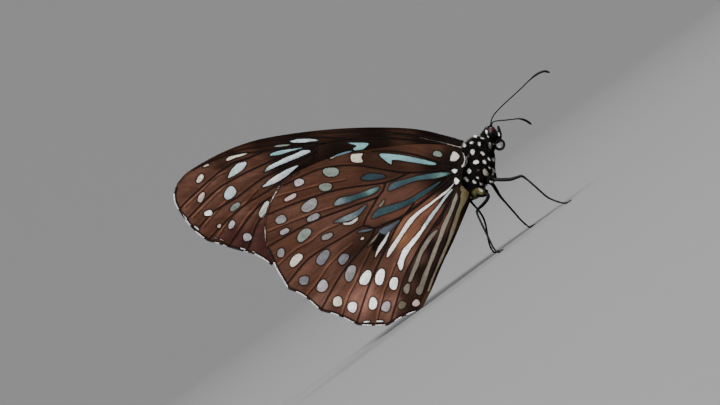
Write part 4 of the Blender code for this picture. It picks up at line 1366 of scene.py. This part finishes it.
def add_skin():
    """One skin with no seam for head, thorax and abdomen; returns its rings and their rows."""
    rows = skin_rows()
    tangents = line_tangents(rows[:, :2])
    turns = 2 * math.pi * np.arange(SKIN_SIDES) / SKIN_SIDES
    up = rows[:, 2, None] * np.cos(turns)
    out = rows[:, 3, None] * np.sin(turns)
    x = rows[:, 0, None] - tangents[:, 1, None] * up
    z = rows[:, 1, None] + tangents[:, 0, None] * up
    rings = np.stack([x, MIDDLE + out, z], axis=-1)
    points = np.vstack([rings.reshape(-1, 3), rings[:1].mean(axis=1), rings[-1:].mean(axis=1)])
    mesh = new_mesh("body_skin", points, ring_triangles(len(rings), SKIN_SIDES))
    mark, tint = nearest_mark(points[:, [0, 2]], body_marks())
    set_numbers(mesh, "mark", mark)
    set_colours(mesh, "tint", tint)
    # How much painted green reflected light tints the skin olive
    set_numbers(mesh, "belly", green_light_share(points))
    place(mesh, skin_material(), "body_scales", "head", "thorax", "abdomen")
    return rings, rows


def skin_samples(vertices, first, last, count):
    """Random places on the skin between two rings, with normals, lies and map places."""
    rings, sides = vertices.shape[:2]
    grid = vertices[first:last]
    down = grid[1:] - grid[:-1]
    across = np.roll(grid, -1, axis=1) - grid
    normals = np.cross(across[:-1], down)
    area = np.linalg.norm(normals, axis=2)
    chosen = RANDOM.choice(area.size, count, p=(area / area.sum()).ravel())
    r, c = np.unravel_index(chosen, area.shape)
    u = RANDOM.random((count, 1))
    v = RANDOM.random((count, 1))
    spots = grid[r, c] + u * down[r, c] + v * across[r, c]
    facing = normals[r, c] / area[r, c][:, None]
    centres = grid.mean(axis=1)[r]
    flip = ((spots - centres) * facing).sum(axis=1) < 0
    facing[flip] *= -1
    uv = np.column_stack([(first + r + u[:, 0]) / rings, (c + v[:, 0]) / sides])
    return spots, facing, unit(-down[r, c]), inset_map(uv, 0.01)


def add_coat(name, sample, lift, lengths, width, material, slot):
    """Scales along a stretch of the body, painted by where their blades lie."""
    spots, facing, lie, uv = sample
    count = len(spots)
    angle = np.radians(RANDOM.normal(lift, LIFT_SPREAD, count).clip(*LIFT_RANGE))
    swing = RANDOM.normal(0, SWING, count)[:, None]
    directions = (lie + swing * np.cross(facing, lie)) * np.cos(angle)[:, None]
    directions = unit(directions + facing * np.sin(angle)[:, None])
    roots = spots - facing * ROOT_DEPTH
    tints, pale = paint_body(roots + BLADE_PLACE * lengths[:, None] * directions)
    widths = width * RANDOM.uniform(0.8, 1.2, count) * np.where(pale, PALE_WIDENING, 1.0)
    add_scales(name, roots, directions, facing, lengths, widths, tints, uv, material, slot)


def fur_lengths(sample, shortest, longest):
    """Scales long enough to fill the furred outline where they show in profile."""
    spots, facing = sample[:2]
    room = depth_in(spots[:, [0, 2]], side(BODY_OUTLINE)).clip(0, longest)
    extra = room * np.clip(PROFILE_GAIN * (1 - np.abs(facing[:, 1])), 0, 1)
    lengths = shortest + np.clip(ROOM_GAIN * extra, 0, longest - shortest)
    lift = FLAT_LIFT + STEEP_LIFT * np.clip(extra / STEEP_ROOM, 0, 1)
    return lengths * RANDOM.uniform(0.8, 1.12, len(spots)), lift


def add_coats(vertices, rows):
    """Black and white scales on thorax and head; on the abdomen dark ones and pale ones tinted olive by
    painted green reflected light.
    """
    waist, neck = (int(np.abs(rows[:, 0] - side(pixel)[0]).argmin()) for pixel in (WAIST, NECK))
    material = tinted_material("body_scales", 0.6, 0.1, 0.05, 0.2)
    sample = skin_samples(vertices, waist - 4, neck, THORAX_SCALES)
    lengths, lift = fur_lengths(sample, *THORAX_LENGTHS)
    add_coat("thorax_coat", sample, lift, lengths, THORAX_WIDTH, material, "body_scales")
    spots, facing, lie, uv = skin_samples(vertices, neck - 2, len(rows) - 1, HEAD_SCALES)
    forward = (spots, facing, -lie, uv)
    lengths, lift = fur_lengths(forward, *HEAD_LENGTHS)
    add_coat("head_coat", forward, lift + HEAD_LIFT, lengths, HEAD_SCALE_WIDTH, material,
             "body_scales")
    sample = skin_samples(vertices, 2, waist - 2, ABDOMEN_SCALES)
    lengths = ABDOMEN_LENGTH * RANDOM.uniform(0.8, 1.15, ABDOMEN_SCALES)
    add_coat("abdomen_coat", sample, ABDOMEN_LIFT, lengths, ABDOMEN_WIDTH, material, "belly")
    return material


# Dark scales over the wings' roots: outline, where they spread from, and how many are tried
WING_ROOTS = {
    "hindwing": ([(438, 143), (450, 143), (456, 145.4), (464, 147), (468, 156), (468, 170), (470, 186),
                  (466, 190), (459, 188), (452, 184), (443, 181), (437, 170), (436, 156)],
                 (474, 160), 4200),
    "forewing": ([(436, 132), (450, 136), (464.6, 140.6), (464, 150), (455, 147.6), (436, 142.6)],
                 (474, 146), 1400),
}
ROOT_FULL = 0.003
ROOT_END = 0.0056
ROOT_SWING = 0.25
ROOT_LIFTS = (8, 26)
ROOT_LENGTHS = (0.00018, 0.00032)
ROOT_WIDTHS = (0.00006, 0.0001)
ROOT_DARK = (13, 6, 4)
ROOT_SINK = 0.00002


def root_share(reach):
    """How full the wing roots' scales are at a distance from where they spread."""
    return np.clip((ROOT_END - reach) / (ROOT_END - ROOT_FULL), 0, 1)


def add_root_scales(kind, wing, hand, tail, material):
    """Dark scales over a wing's root, thinning out along the wing, with its pale spots."""
    outline, start, tries = WING_ROOTS[kind]
    loop = side(outline)
    low, high = loop.min(axis=0), loop.max(axis=0)
    points = low + RANDOM.random((4 * tries, 2)) * (high - low)
    points = points[is_inside(points, loop) & is_inside(points, wing.rim)][:tries]
    full = root_share(np.linalg.norm(points - side(start), axis=1))
    points = points[RANDOM.random(len(points)) < full]
    count = len(points)
    away = points - side(start)
    near = root_share(np.linalg.norm(away, axis=1)[:, None])
    away = swung(unit(away), RANDOM.normal(0, ROOT_SWING, count))
    lift = np.radians(RANDOM.uniform(*ROOT_LIFTS, count))
    lengths = RANDOM.uniform(*ROOT_LENGTHS, count)
    blades = points + 0.6 * lengths[:, None] * away
    depth, tint = nearest_mark(blades, wing.marks + body_marks())
    shade = RANDOM.uniform(*SCALE_SHADES, (count, 1))
    ground = linear(ROOT_DARK) * near + 0.6 * wing.ground_colour(blades) * (1 - near)
    tints = np.where(depth[:, None] > 0, tint, ground * shade)
    roots = stood_out(points, wing.middle_of(points) + SHEET / 2 - ROOT_SINK, hand)
    directions = np.column_stack([away[:, 0] * np.cos(lift), hand * np.sin(lift),
                                  away[:, 1] * np.cos(lift)])
    faces = np.tile([0.0, float(hand), 0.0], (count, 1))
    widths = RANDOM.uniform(*ROOT_WIDTHS, count)
    uv = inset_map((points - low) / (high - low))
    add_scales(f"{kind}_{tail}_root", roots, directions, faces, lengths, widths, tints, uv,
               material, kind)


# Furred lumps: centre, distance from the middle plane, half sizes, scales
LUMPS = {
    "tegula": ((466.4, 145.6), 0.00118, (0.00046, 0.0004, 0.00052), 1000),
    "hind_hip": ((482.8, 190.9), 0.00125, (0.00084, 0.0008, 0.0006), 2000),
    "mid_hip": ((490.8, 178.4), 0.00135, (0.00086, 0.00072, 0.00062), 2000),
}
LUMP_RINGS = 14
LUMP_SIDES = 20
LUMP_ROOTS = 0.92
LUMP_SCATTER = 0.00004
LUMP_BACK = np.array([-0.6, 0.0, -0.8])
LUMP_LIE = 0.9
LUMP_LIFT = 0.42
LUMP_LENGTHS = (0.00018, 0.0003)
LUMP_WIDTH = 0.00009


def add_lump(kind, hand, tail, material, coat_material):
    """A furred swelling: the flap over the forewing's hinge, or the root of a leg."""
    spot, out, halves, count = LUMPS[kind]
    vertices, triangles = ellipsoid(side(spot), out, halves, hand, LUMP_RINGS, LUMP_SIDES)
    place(new_mesh(f"{kind}_{tail}_skin", vertices, triangles), material, "body_scales")
    centre = stood_out(side(spot)[None], out, hand)[0]
    chosen = RANDOM.integers(0, len(vertices) - 2, count)
    facing = unit(vertices[chosen] - centre)
    roots = centre + (vertices[chosen] - centre) * LUMP_ROOTS
    roots += RANDOM.normal(0, LUMP_SCATTER, roots.shape)
    lie = unit(LUMP_BACK - facing * (facing @ LUMP_BACK)[:, None])
    directions = unit(lie * LUMP_LIE + facing * LUMP_LIFT)
    lengths = RANDOM.uniform(*LUMP_LENGTHS, count)
    tints, _ = paint_body(roots + 0.6 * lengths[:, None] * directions)
    uv = np.column_stack([chosen % LUMP_SIDES / LUMP_SIDES, chosen // LUMP_SIDES / LUMP_RINGS])
    add_scales(f"{kind}_{tail}_coat", roots, directions, facing, lengths,
               np.full(count, LUMP_WIDTH), tints, inset_map(uv, 0.05), coat_material,
               "body_scales")


# Head parts

EYE_CENTRE = (492.1, 132.9)
EYE_HALF = (0.00074, 0.00082, 0.001)
EYE_OUT = 0.00102
EYE_RINGS = 40
EYE_SIDES = 60
PALP_REACH = 0.00085
PALP_STEP = 0.00008
PALP_STRIPE = ((498.3, 133.8), 5.6, 1.9, -62)
PALP_BLACK = (10, 6, 6)
PALP_SCALES = 1500
PALP_LENGTHS = (0.00018, 0.00036)
PALP = [
    ((495.2, 143.2), 0.0001), ((497.4, 141.8), 0.00022), ((499.2, 139.2), 0.00025),
    ((500.0, 135), 0.00023), ((499.3, 130), 0.00014), ((498.3, 125.9), 3e-05),
]

# Scales on tubes: how deep they root, how they lean, and how unevenly they are coloured
TUFT_ROOTS = 0.85
TUFT_LIE = 0.88
TUFT_LEANS = (0.2, 0.75)
TUFT_WIDTH = 0.00007
TUFT_SHADES = (0.75, 1.15)

# The tongue's spiral, and the beads along its tube
COIL_CENTRE = (499.7, 144.6)
COIL_OUTER = 0.00075
COIL_INNER = 0.0003
COIL_FROM = math.radians(82)
COIL_TURN = math.radians(620)
COIL_SHRINKS = 0.4
COIL_TUBE = 0.00023
COIL_THINS = 0.4
COIL_ROWS = 170
BEAD_DEPTH = 0.04
BEAD_RATE = 300

ANTENNA_R = [
    ((490.6, 126.4), 0.0005), ((491.8, 119.5), 0.0009), ((494.6, 114), 0.0014), ((503, 105), 0.0024),
    ((520, 89.3), 0.004), ((530, 79.5), 0.0049), ((537, 74.2), 0.0055), ((543.5, 71.9), 0.0059),
    ((549, 73.2), 0.0061),
]
ANTENNA_L = [
    ((491.2, 126.4), 0.0005), ((493.2, 122), 0.0011), ((498, 120.5), 0.0025), ((506, 119.6), 0.0046),
    ((514, 118.6), 0.0068), ((521, 117.8), 0.0088), ((527.5, 119.3), 0.0102), ((534, 123.3), 0.0112),
]
ANTENNA_STEP = 0.00012
SHAFT = 0.0001
CLUB = 0.00019
CLUB_START = 0.68
CLUB_FULL = 0.62
RING_DEPTH = 0.07
RING_ROWS = 3.0
SOCKET = 0.0001
SOCKET_END = 0.025
TIP_SHARE = 0.03
THIN_SIDES = 14


def ellipsoid(centre, out, halves, hand, rings, sides):
    """A ball squashed to its half sizes, upright in the photograph's view."""
    lat = math.pi * np.arange(1, rings) / rings
    lon = 2 * math.pi * np.arange(sides) / sides
    ball = np.stack([np.sin(lat)[:, None] * np.cos(lon),
                     np.cos(lat)[:, None] * np.ones(sides),
                     np.sin(lat)[:, None] * np.sin(lon)], axis=-1).reshape(-1, 3)
    ball = np.vstack([ball, [(0, 1, 0), (0, -1, 0)]]) * halves
    c, s = math.cos(FLOOR_SLOPE), math.sin(FLOOR_SLOPE)
    flat = centre + np.column_stack([ball[:, 0] * c + ball[:, 2] * s,
                                     ball[:, 2] * c - ball[:, 0] * s])
    triangles = ring_triangles(rings - 1, sides)
    return (stood_out(flat, out + ball[:, 1], hand),
            triangles if hand == RIGHT else triangles[:, ::-1])


def add_eye(hand, tail, material):
    """A domed eye with a fine skin of facets."""
    centre = side(EYE_CENTRE)
    vertices, triangles = ellipsoid(centre, EYE_OUT, EYE_HALF, hand, EYE_RINGS, EYE_SIDES)
    mesh = new_mesh(f"eye_{tail}_facets", vertices, triangles)
    # The eye's height, which its material turns into a painted red sheen towards the top
    upward = (math.sin(FLOOR_SLOPE), math.cos(FLOOR_SLOPE))
    set_numbers(mesh, "top", (vertices[:, [0, 2]] - centre) @ upward / EYE_HALF[2])
    place(mesh, material, "eye", f"eye_{tail}")


def path_rows(stations, hand):
    """Rows of x, y, z and radius from pixel, reach and radius."""
    return [(side(p)[0], MIDDLE + hand * out, side(p)[1], r) for p, out, r in stations]


def furred_tube(name, rows, count, lengths, coat_material, paint):
    """Scales all over a tube, leaning towards its tip."""
    index = RANDOM.integers(1, len(rows) - 2, count)
    tangents = line_tangents(rows[:, :3])[index]
    sideways = unit(np.cross(tangents, [0.0, 1.0, 0.0]))
    outward = np.cross(sideways, tangents)
    turn = RANDOM.uniform(0, 2 * math.pi, count)
    facing = np.cos(turn)[:, None] * sideways + np.sin(turn)[:, None] * outward
    roots = rows[index, :3] + facing * (rows[index, 3] * TUFT_ROOTS)[:, None]
    directions = unit(tangents * TUFT_LIE + facing * RANDOM.uniform(*TUFT_LEANS, (count, 1)))
    share = index / len(rows)
    sizes = RANDOM.uniform(*lengths, count) * (1.1 - 0.45 * share ** 2)
    tints = paint(roots + 0.5 * sizes[:, None] * directions, facing)
    tints = tints * RANDOM.uniform(*TUFT_SHADES, (count, 1))
    uv = inset_map(np.column_stack([share, turn / (2 * math.pi)]))
    add_scales(name, roots, directions, facing, sizes, np.full(count, TUFT_WIDTH), tints, uv,
               coat_material, "body_scales")


def add_palp(hand, tail, material, coat_material):
    """A feeler beside the tongue, furred black with a white stripe outside."""
    rows = smooth(path_rows([(p, PALP_REACH, r) for p, r in PALP], hand), PALP_STEP)
    mesh = new_mesh(f"palp_{tail}_skin", *tube_arrays(rows, 16))
    place(mesh, material, "body_scales", f"palp_{tail}")

    def paint(blades, facing):
        stripe = side(oval_loop(*PALP_STRIPE))
        white = is_inside(blades[:, [0, 2]], stripe) & (facing[:, 1] * hand > -0.2)
        return np.where(white[:, None], linear(PALE["white"]), linear(PALP_BLACK))

    furred_tube(f"palp_{tail}_coat", rows, PALP_SCALES, PALP_LENGTHS, coat_material, paint)


def add_proboscis(material):
    """The tongue, rolled nearly twice into a flat spiral, its inner turn paler with a painted highlight.
    """
    centre = side(COIL_CENTRE)
    shares = np.linspace(0, 1, COIL_ROWS)
    angles = COIL_FROM - COIL_TURN * shares
    inward = np.maximum(0.0, (shares - COIL_SHRINKS) / (1 - COIL_SHRINKS))
    away = COIL_OUTER + (COIL_INNER - COIL_OUTER) * inward
    radii = COIL_TUBE * (1 - COIL_THINS * inward) * (1 + BEAD_DEPTH * np.cos(BEAD_RATE * shares))
    radii[-1] *= 0.4
    spiral = centre + away[:, None] * np.column_stack([np.cos(angles), np.sin(angles)])
    rows = np.column_stack([stood_out(spiral, 0.0, RIGHT), radii])
    mesh = new_mesh("proboscis_coil", *tube_arrays(rows, THIN_SIDES))
    # Where along the coil the painted highlight of the inner turn lies
    set_numbers(mesh, "inner", np.concatenate([np.repeat(shares, THIN_SIDES), [0.0, 1.0]]))
    place(mesh, material, "horn", "proboscis")


def add_antenna(name, stations, hand, material):
    """A ringed feeler with a slender club and a socket at its root."""
    rows = smooth(path_rows([(p, out, SHAFT) for p, out in stations], hand), ANTENNA_STEP)
    share = np.linspace(0, 1, len(rows))
    swell = np.clip((share - CLUB_START) / (1 - CLUB_START), 0, CLUB_FULL) / CLUB_FULL
    radii = SHAFT + (CLUB - SHAFT) * np.sin(math.pi * swell / 2) ** 2
    radii *= 1 + RING_DEPTH * np.cos(2 * math.pi * np.arange(len(rows)) / RING_ROWS)
    radii += SOCKET * np.exp(-(share / SOCKET_END) ** 2)
    rows[:, 3] = radii * np.sqrt(np.clip((1 - share) / TIP_SHARE, 0.1, 1))
    place(new_mesh(name + "_rings", *tube_arrays(rows, THIN_SIDES)), material, "horn", name)


# Walking legs: side, then pixel, reach from the middle plane and radius of the solid's stations

LEGS = {
    "midleg_r": (RIGHT, [
        ((487.7, 178.1), 0.00135, 0.00036), ((490.5, 178.8), 0.0015, 0.0004),
        ((494.5, 179.4), 0.0018, 0.00028), ((499, 179.7), 0.0022, 0.00025),
        ((504, 179.7), 0.0027, 0.00027), ((511, 179.1), 0.0034, 0.00026),
        ((517, 177.2), 0.0039, 0.00022), ((521.3, 176.2), 0.0043, 0.0002),
        ((525.5, 178.8), 0.0046, 0.00014), ((533, 185.2), 0.0051, 0.00014),
        ((545, 196), 0.0059, 0.00014), ((552, 200), 0.0063, 0.00012),
        ((560, 202.6), 0.0067, 0.00012), ((565.5, 202.6), 0.007, 0.00012),
        ((570, 200.2), 0.0072, 0.00009)]),
    "midleg_l": (LEFT, [
        ((486.3, 180.6), 0.00135, 0.00034), ((490, 181.9), 0.0015, 0.00036),
        ((493.2, 184.4), 0.0018, 0.00027), ((497, 190), 0.0024, 0.00026),
        ((500.6, 195.8), 0.003, 0.0002), ((506, 202), 0.0036, 0.00015),
        ((514, 211), 0.0045, 0.00014), ((521.5, 219.5), 0.0054, 0.00013),
        ((527, 224.5), 0.006, 0.00012), ((531, 227.0), 0.0064, 0.00012),
        ((536, 224.9), 0.0069, 0.00009)]),
    "hindleg_r": (RIGHT, [
        ((477.7, 192.2), 0.0009, 0.00034), ((479, 194.3), 0.0011, 0.00038),
        ((483, 194.8), 0.0013, 0.00036), ((486.6, 194.0), 0.0016, 0.0003),
        ((488.2, 196.4), 0.002, 0.00026), ((486.4, 200.4), 0.0024, 0.00026),
        ((482.4, 205), 0.0029, 0.00025), ((478.4, 208.6), 0.0034, 0.0002),
        ((476.6, 211.6), 0.0038, 0.00017), ((477.8, 216), 0.0041, 0.00015),
        ((483, 227.4), 0.0048, 0.00015), ((490, 242), 0.0057, 0.00013),
        ((493.4, 248.6), 0.0061, 0.00012), ((497.4, 251.8), 0.0065, 0.00012),
        ((502.4, 249.3), 0.0069, 0.00009)]),
    "hindleg_l": (LEFT, [
        ((477.6, 191.9), 0.0009, 0.00034), ((478.8, 194.6), 0.0013, 0.00036),
        ((476.6, 196.8), 0.0021, 0.00028), ((473, 198.6), 0.003, 0.00024),
        ((471.4, 200.8), 0.0036, 0.00019), ((473.8, 204.2), 0.0039, 0.00016),
        ((479.4, 210.6), 0.0043, 0.00015), ((484.2, 218), 0.0047, 0.00015),
        ((486.8, 226), 0.0051, 0.00014), ((488.6, 236), 0.0056, 0.00013),
        ((491, 246), 0.006, 0.00012), ((495, 252.4), 0.0064, 0.00012),
        ((500, 250.9), 0.0069, 0.00009)]),
}

# The folded foreleg: pixel and radius of each station
FORELEG_REACH = 0.00045
FORELEG = [
    ((492.8, 150.0), 0.0001), ((494.0, 155.0), 0.00014), ((494.4, 161.0), 0.00015),
    ((494.2, 167.5), 0.00016), ((495.0, 173.5), 0.0002), ((495.4, 178), 0.00024),
    ((493.6, 181.6), 0.0001),
]
FORELEG_SCALES = 1300
FORELEG_LENGTHS = (0.00012, 0.00022)

# How legs are dressed: rows, fullness, the foot's joints and its way down to the floor
LEG_STEP = 0.0001
LEG_FULLNESS = 1.12
SOLID_TARSUS = 0.00025
LANDING = 0.0011
FOOT_HEIGHT = 0.0013
FOOT_JOINTS = 0.14
FOOT_RATE = 2.2
SPINE = 0.00022
SPINE_WIDTH = 0.00003
SPINE_COUNT = 160
SPINE_STRETCH = (0.1, 0.98)
CLAW = 0.0002
CLAW_SPREAD = 0.00007
CLAW_ROOT = 0.00005
CLAW_TIP = 0.00001
CLAW_CLEAR = 0.00003


def settle(rows):
    """Lowers the foot's thin line to the floor that the thicker solid rests on."""
    near = np.clip(1 - rows[:, 2] / LANDING, 0, 1)
    near = near * near * (3 - 2 * near)
    rows[:, 2] -= near * (SOLID_TARSUS - rows[:, 3]) * 0.5
    rows[:, 2] = np.maximum(rows[:, 2], rows[:, 3])


def add_foreleg(hand, tail, material, coat_material):
    """The small folded foreleg, furred like the breast it lies on."""
    rows = smooth(path_rows([(p, FORELEG_REACH, r) for p, r in FORELEG], hand), LEG_STEP)
    name = f"foreleg_{tail}"
    place(new_mesh(name + "_skin", *tube_arrays(rows, THIN_SIDES)), material, "horn", name)

    def paint(blades, _):
        return paint_body(blades)[0]

    furred_tube(name + "_coat", rows, FORELEG_SCALES, FORELEG_LENGTHS, coat_material, paint)


def spine_arrays(rows):
    """Short slanting spines along a leg."""
    first, last = (int(share * len(rows)) for share in SPINE_STRETCH)
    index = RANDOM.integers(first, last - 1, SPINE_COUNT)
    tangents = line_tangents(rows[:, :3])[index]
    square = RANDOM.normal(0, 1, (SPINE_COUNT, 3))
    square = unit(square - tangents * (square * tangents).sum(axis=1)[:, None])
    roots = rows[index, :3] + square * (rows[index, 3] * 0.8)[:, None]
    directions = unit(tangents * 0.8 + square * 0.5)
    keep = (roots + directions * SPINE)[:, 2] > SPINE_WIDTH
    lengths, widths = (np.full(keep.sum(), size) for size in (SPINE, SPINE_WIDTH))
    return vane_arrays(roots[keep], directions[keep], square[keep], lengths, widths, SPINE_WIDTH)


def claw_arrays(rows):
    """Two hooked claws on the last joint of a foot."""
    tip = rows[-1, :3]
    ahead = line_tangents(rows[:, :3])[-1] * (1, 1, 0)
    ahead /= np.linalg.norm(ahead)
    across = np.cross(ahead, [0, 0, 1])
    share = np.linspace(0, 1, 7)[:, None]
    claws = []
    for sign in (-1, 1):
        curve = tip + ahead * CLAW * share + across * sign * CLAW_SPREAD * np.sqrt(share)
        curve[:, 2:] = np.maximum(tip[2] * (1 - share ** 2), CLAW_CLEAR)
        radii = CLAW_ROOT + (CLAW_TIP - CLAW_ROOT) * share
        claws.append(tube_arrays(np.hstack([curve, radii]), 6))
    return claws


def add_leg(name, hand, stations, material):
    """A jointed leg with spines and two claws, its foot on the floor."""
    rows = smooth(path_rows(stations, hand), LEG_STEP)
    rows[:, 3] *= LEG_FULLNESS
    settle(rows)
    foot = rows[:, 2] < FOOT_HEIGHT
    rows[foot, 3] *= 1 + FOOT_JOINTS * np.cos(np.arange(foot.sum()) / FOOT_RATE)
    rows[:, 2] = np.maximum(rows[:, 2], rows[:, 3])
    parts = [tube_arrays(rows, THIN_SIDES), spine_arrays(rows), *claw_arrays(rows)]
    place(new_mesh(name + "_segments", *joined(parts)), material, "horn", name)


# Studio

CAMERA_DISTANCE = 0.9
SENSOR = 36.0
NEAREST = 0.05
FARTHEST = 20.0
FLOOR_RADIUS = 2.6
FLOOR_START = 0.02
FLOOR_SIDES = 96
WALL_HEIGHT = 2.2
WALL_CURVE = 1.2
PAPER = (0.135, 0.135, 0.137, 1.0)
SKY = (0.86, 0.88, 0.92, 1.0)
SKY_STRENGTH = 1.15

# Lights: place, size, power and colour, all aimed at the animal
LIGHT_TARGET = (0.0, 0.0, 0.02)
LIGHTS = {
    "key_light": ((-1.2, -2.2, 3.0), 1.3, 335.0, (1.0, 0.985, 0.96)),
    "fill_light": ((2.4, -2.4, 2.4), 1.8, 165.0, (0.95, 0.97, 1.0)),
    "back_light": ((0.3, 3.0, 3.0), 1.8, 115.0, (1.0, 1.0, 1.0)),
}


def add_studio():
    """A round pale floor that curves up into a wall all round."""
    flat = FLOOR_RADIUS - WALL_CURVE
    profile = [(radius, 0.0) for radius in np.linspace(FLOOR_START, flat, 14)]
    for turn in np.linspace(0, math.pi / 2, 16)[1:]:
        profile.append((flat + WALL_CURVE * math.sin(turn), WALL_CURVE * (1 - math.cos(turn))))
    profile.append((FLOOR_RADIUS, WALL_HEIGHT))
    turns = 2 * math.pi * np.arange(FLOOR_SIDES) / FLOOR_SIDES
    vertices = [(0.0, 0.0, 0.0)]
    for radius, height in profile:
        vertices += [(radius * math.cos(t), radius * math.sin(t), height) for t in turns]
    pairs = [(i, (i + 1) % FLOOR_SIDES) for i in range(FLOOR_SIDES)]
    faces = [(0, 1 + i, 1 + j) for i, j in pairs]
    for a in range(1, 1 + (len(profile) - 1) * FLOOR_SIDES, FLOOR_SIDES):
        b = a + FLOOR_SIDES
        faces += [(a + i, b + i, b + j, a + j) for i, j in pairs]
    mesh = bpy.data.meshes.new("studio_floor")
    mesh.from_pydata(vertices, [], faces)
    mesh.shade_smooth()
    floor = bpy.data.objects.new("studio_floor", mesh)
    bpy.context.scene.collection.objects.link(floor)
    material, _, shader = shader_of("studio_paper", 0.9, specular=0.1)
    shader.inputs["Base Color"].default_value = PAPER
    mesh.materials.append(material)


def add_lights():
    """Three soft lamps and a pale sky."""
    for name, (where, size, power, colour) in LIGHTS.items():
        data = bpy.data.lights.new(name, "AREA")
        data.shape = "DISK"
        data.size = size
        data.energy = power
        data.color = colour
        light = bpy.data.objects.new(name, data)
        light.location = where
        direction = Vector(LIGHT_TARGET) - Vector(where)
        light.rotation_euler = direction.to_track_quat("-Z", "Y").to_euler()
        bpy.context.scene.collection.objects.link(light)
    world = bpy.data.worlds.new("studio_world")
    world.use_nodes = True
    background = world.node_tree.nodes["Background"]
    background.inputs["Color"].default_value = SKY
    background.inputs["Strength"].default_value = SKY_STRENGTH
    bpy.context.scene.world = world


def add_camera():
    """The photograph's view, rolled by the slope that the animal stood on."""
    centre = side(PHOTO_CENTRE)
    data = bpy.data.cameras.new("photo_camera")
    data.sensor_width = SENSOR
    data.lens = SENSOR * CAMERA_DISTANCE / (PHOTO_WIDTH * SCALE)
    data.clip_start = NEAREST
    data.clip_end = FARTHEST
    camera = bpy.data.objects.new("photo_camera", data)
    c, s = math.cos(FLOOR_SLOPE), math.sin(FLOOR_SLOPE)
    camera.matrix_world = Matrix((
        (c, s, 0.0, centre[0]),
        (0.0, 0.0, -1.0, MIDDLE - HINDWING_LEVEL - CAMERA_DISTANCE),
        (-s, c, 0.0, centre[1]),
        (0.0, 0.0, 0.0, 1.0)))
    bpy.context.scene.collection.objects.link(camera)
    bpy.context.scene.camera = camera


def main():
    add_camera()
    add_studio()
    add_lights()
    wings = build_wings()
    coat_material = add_coats(*add_skin())
    horn = horn_material("dark_horn", (9, 5, 5), (24, 15, 14), 0.5)
    furred = horn_material("furred_skin", (6, 4, 4), (18, 13, 12), 0.65)
    eye = eye_material()
    add_proboscis(tongue_highlight_material())
    add_antenna("antenna_r", ANTENNA_R, RIGHT, horn)
    add_antenna("antenna_l", ANTENNA_L, LEFT, horn)
    for hand, tail in HANDS:
        add_eye(hand, tail, eye)
        add_palp(hand, tail, furred, coat_material)
        add_foreleg(hand, tail, furred, coat_material)
        for kind in LUMPS:
            add_lump(kind, hand, tail, furred, coat_material)
        for kind in WING_ROOTS:
            add_root_scales(kind, wings[kind], hand, tail, coat_material)
    for name, (hand, stations) in LEGS.items():
        add_leg(name, hand, stations, horn)


main()
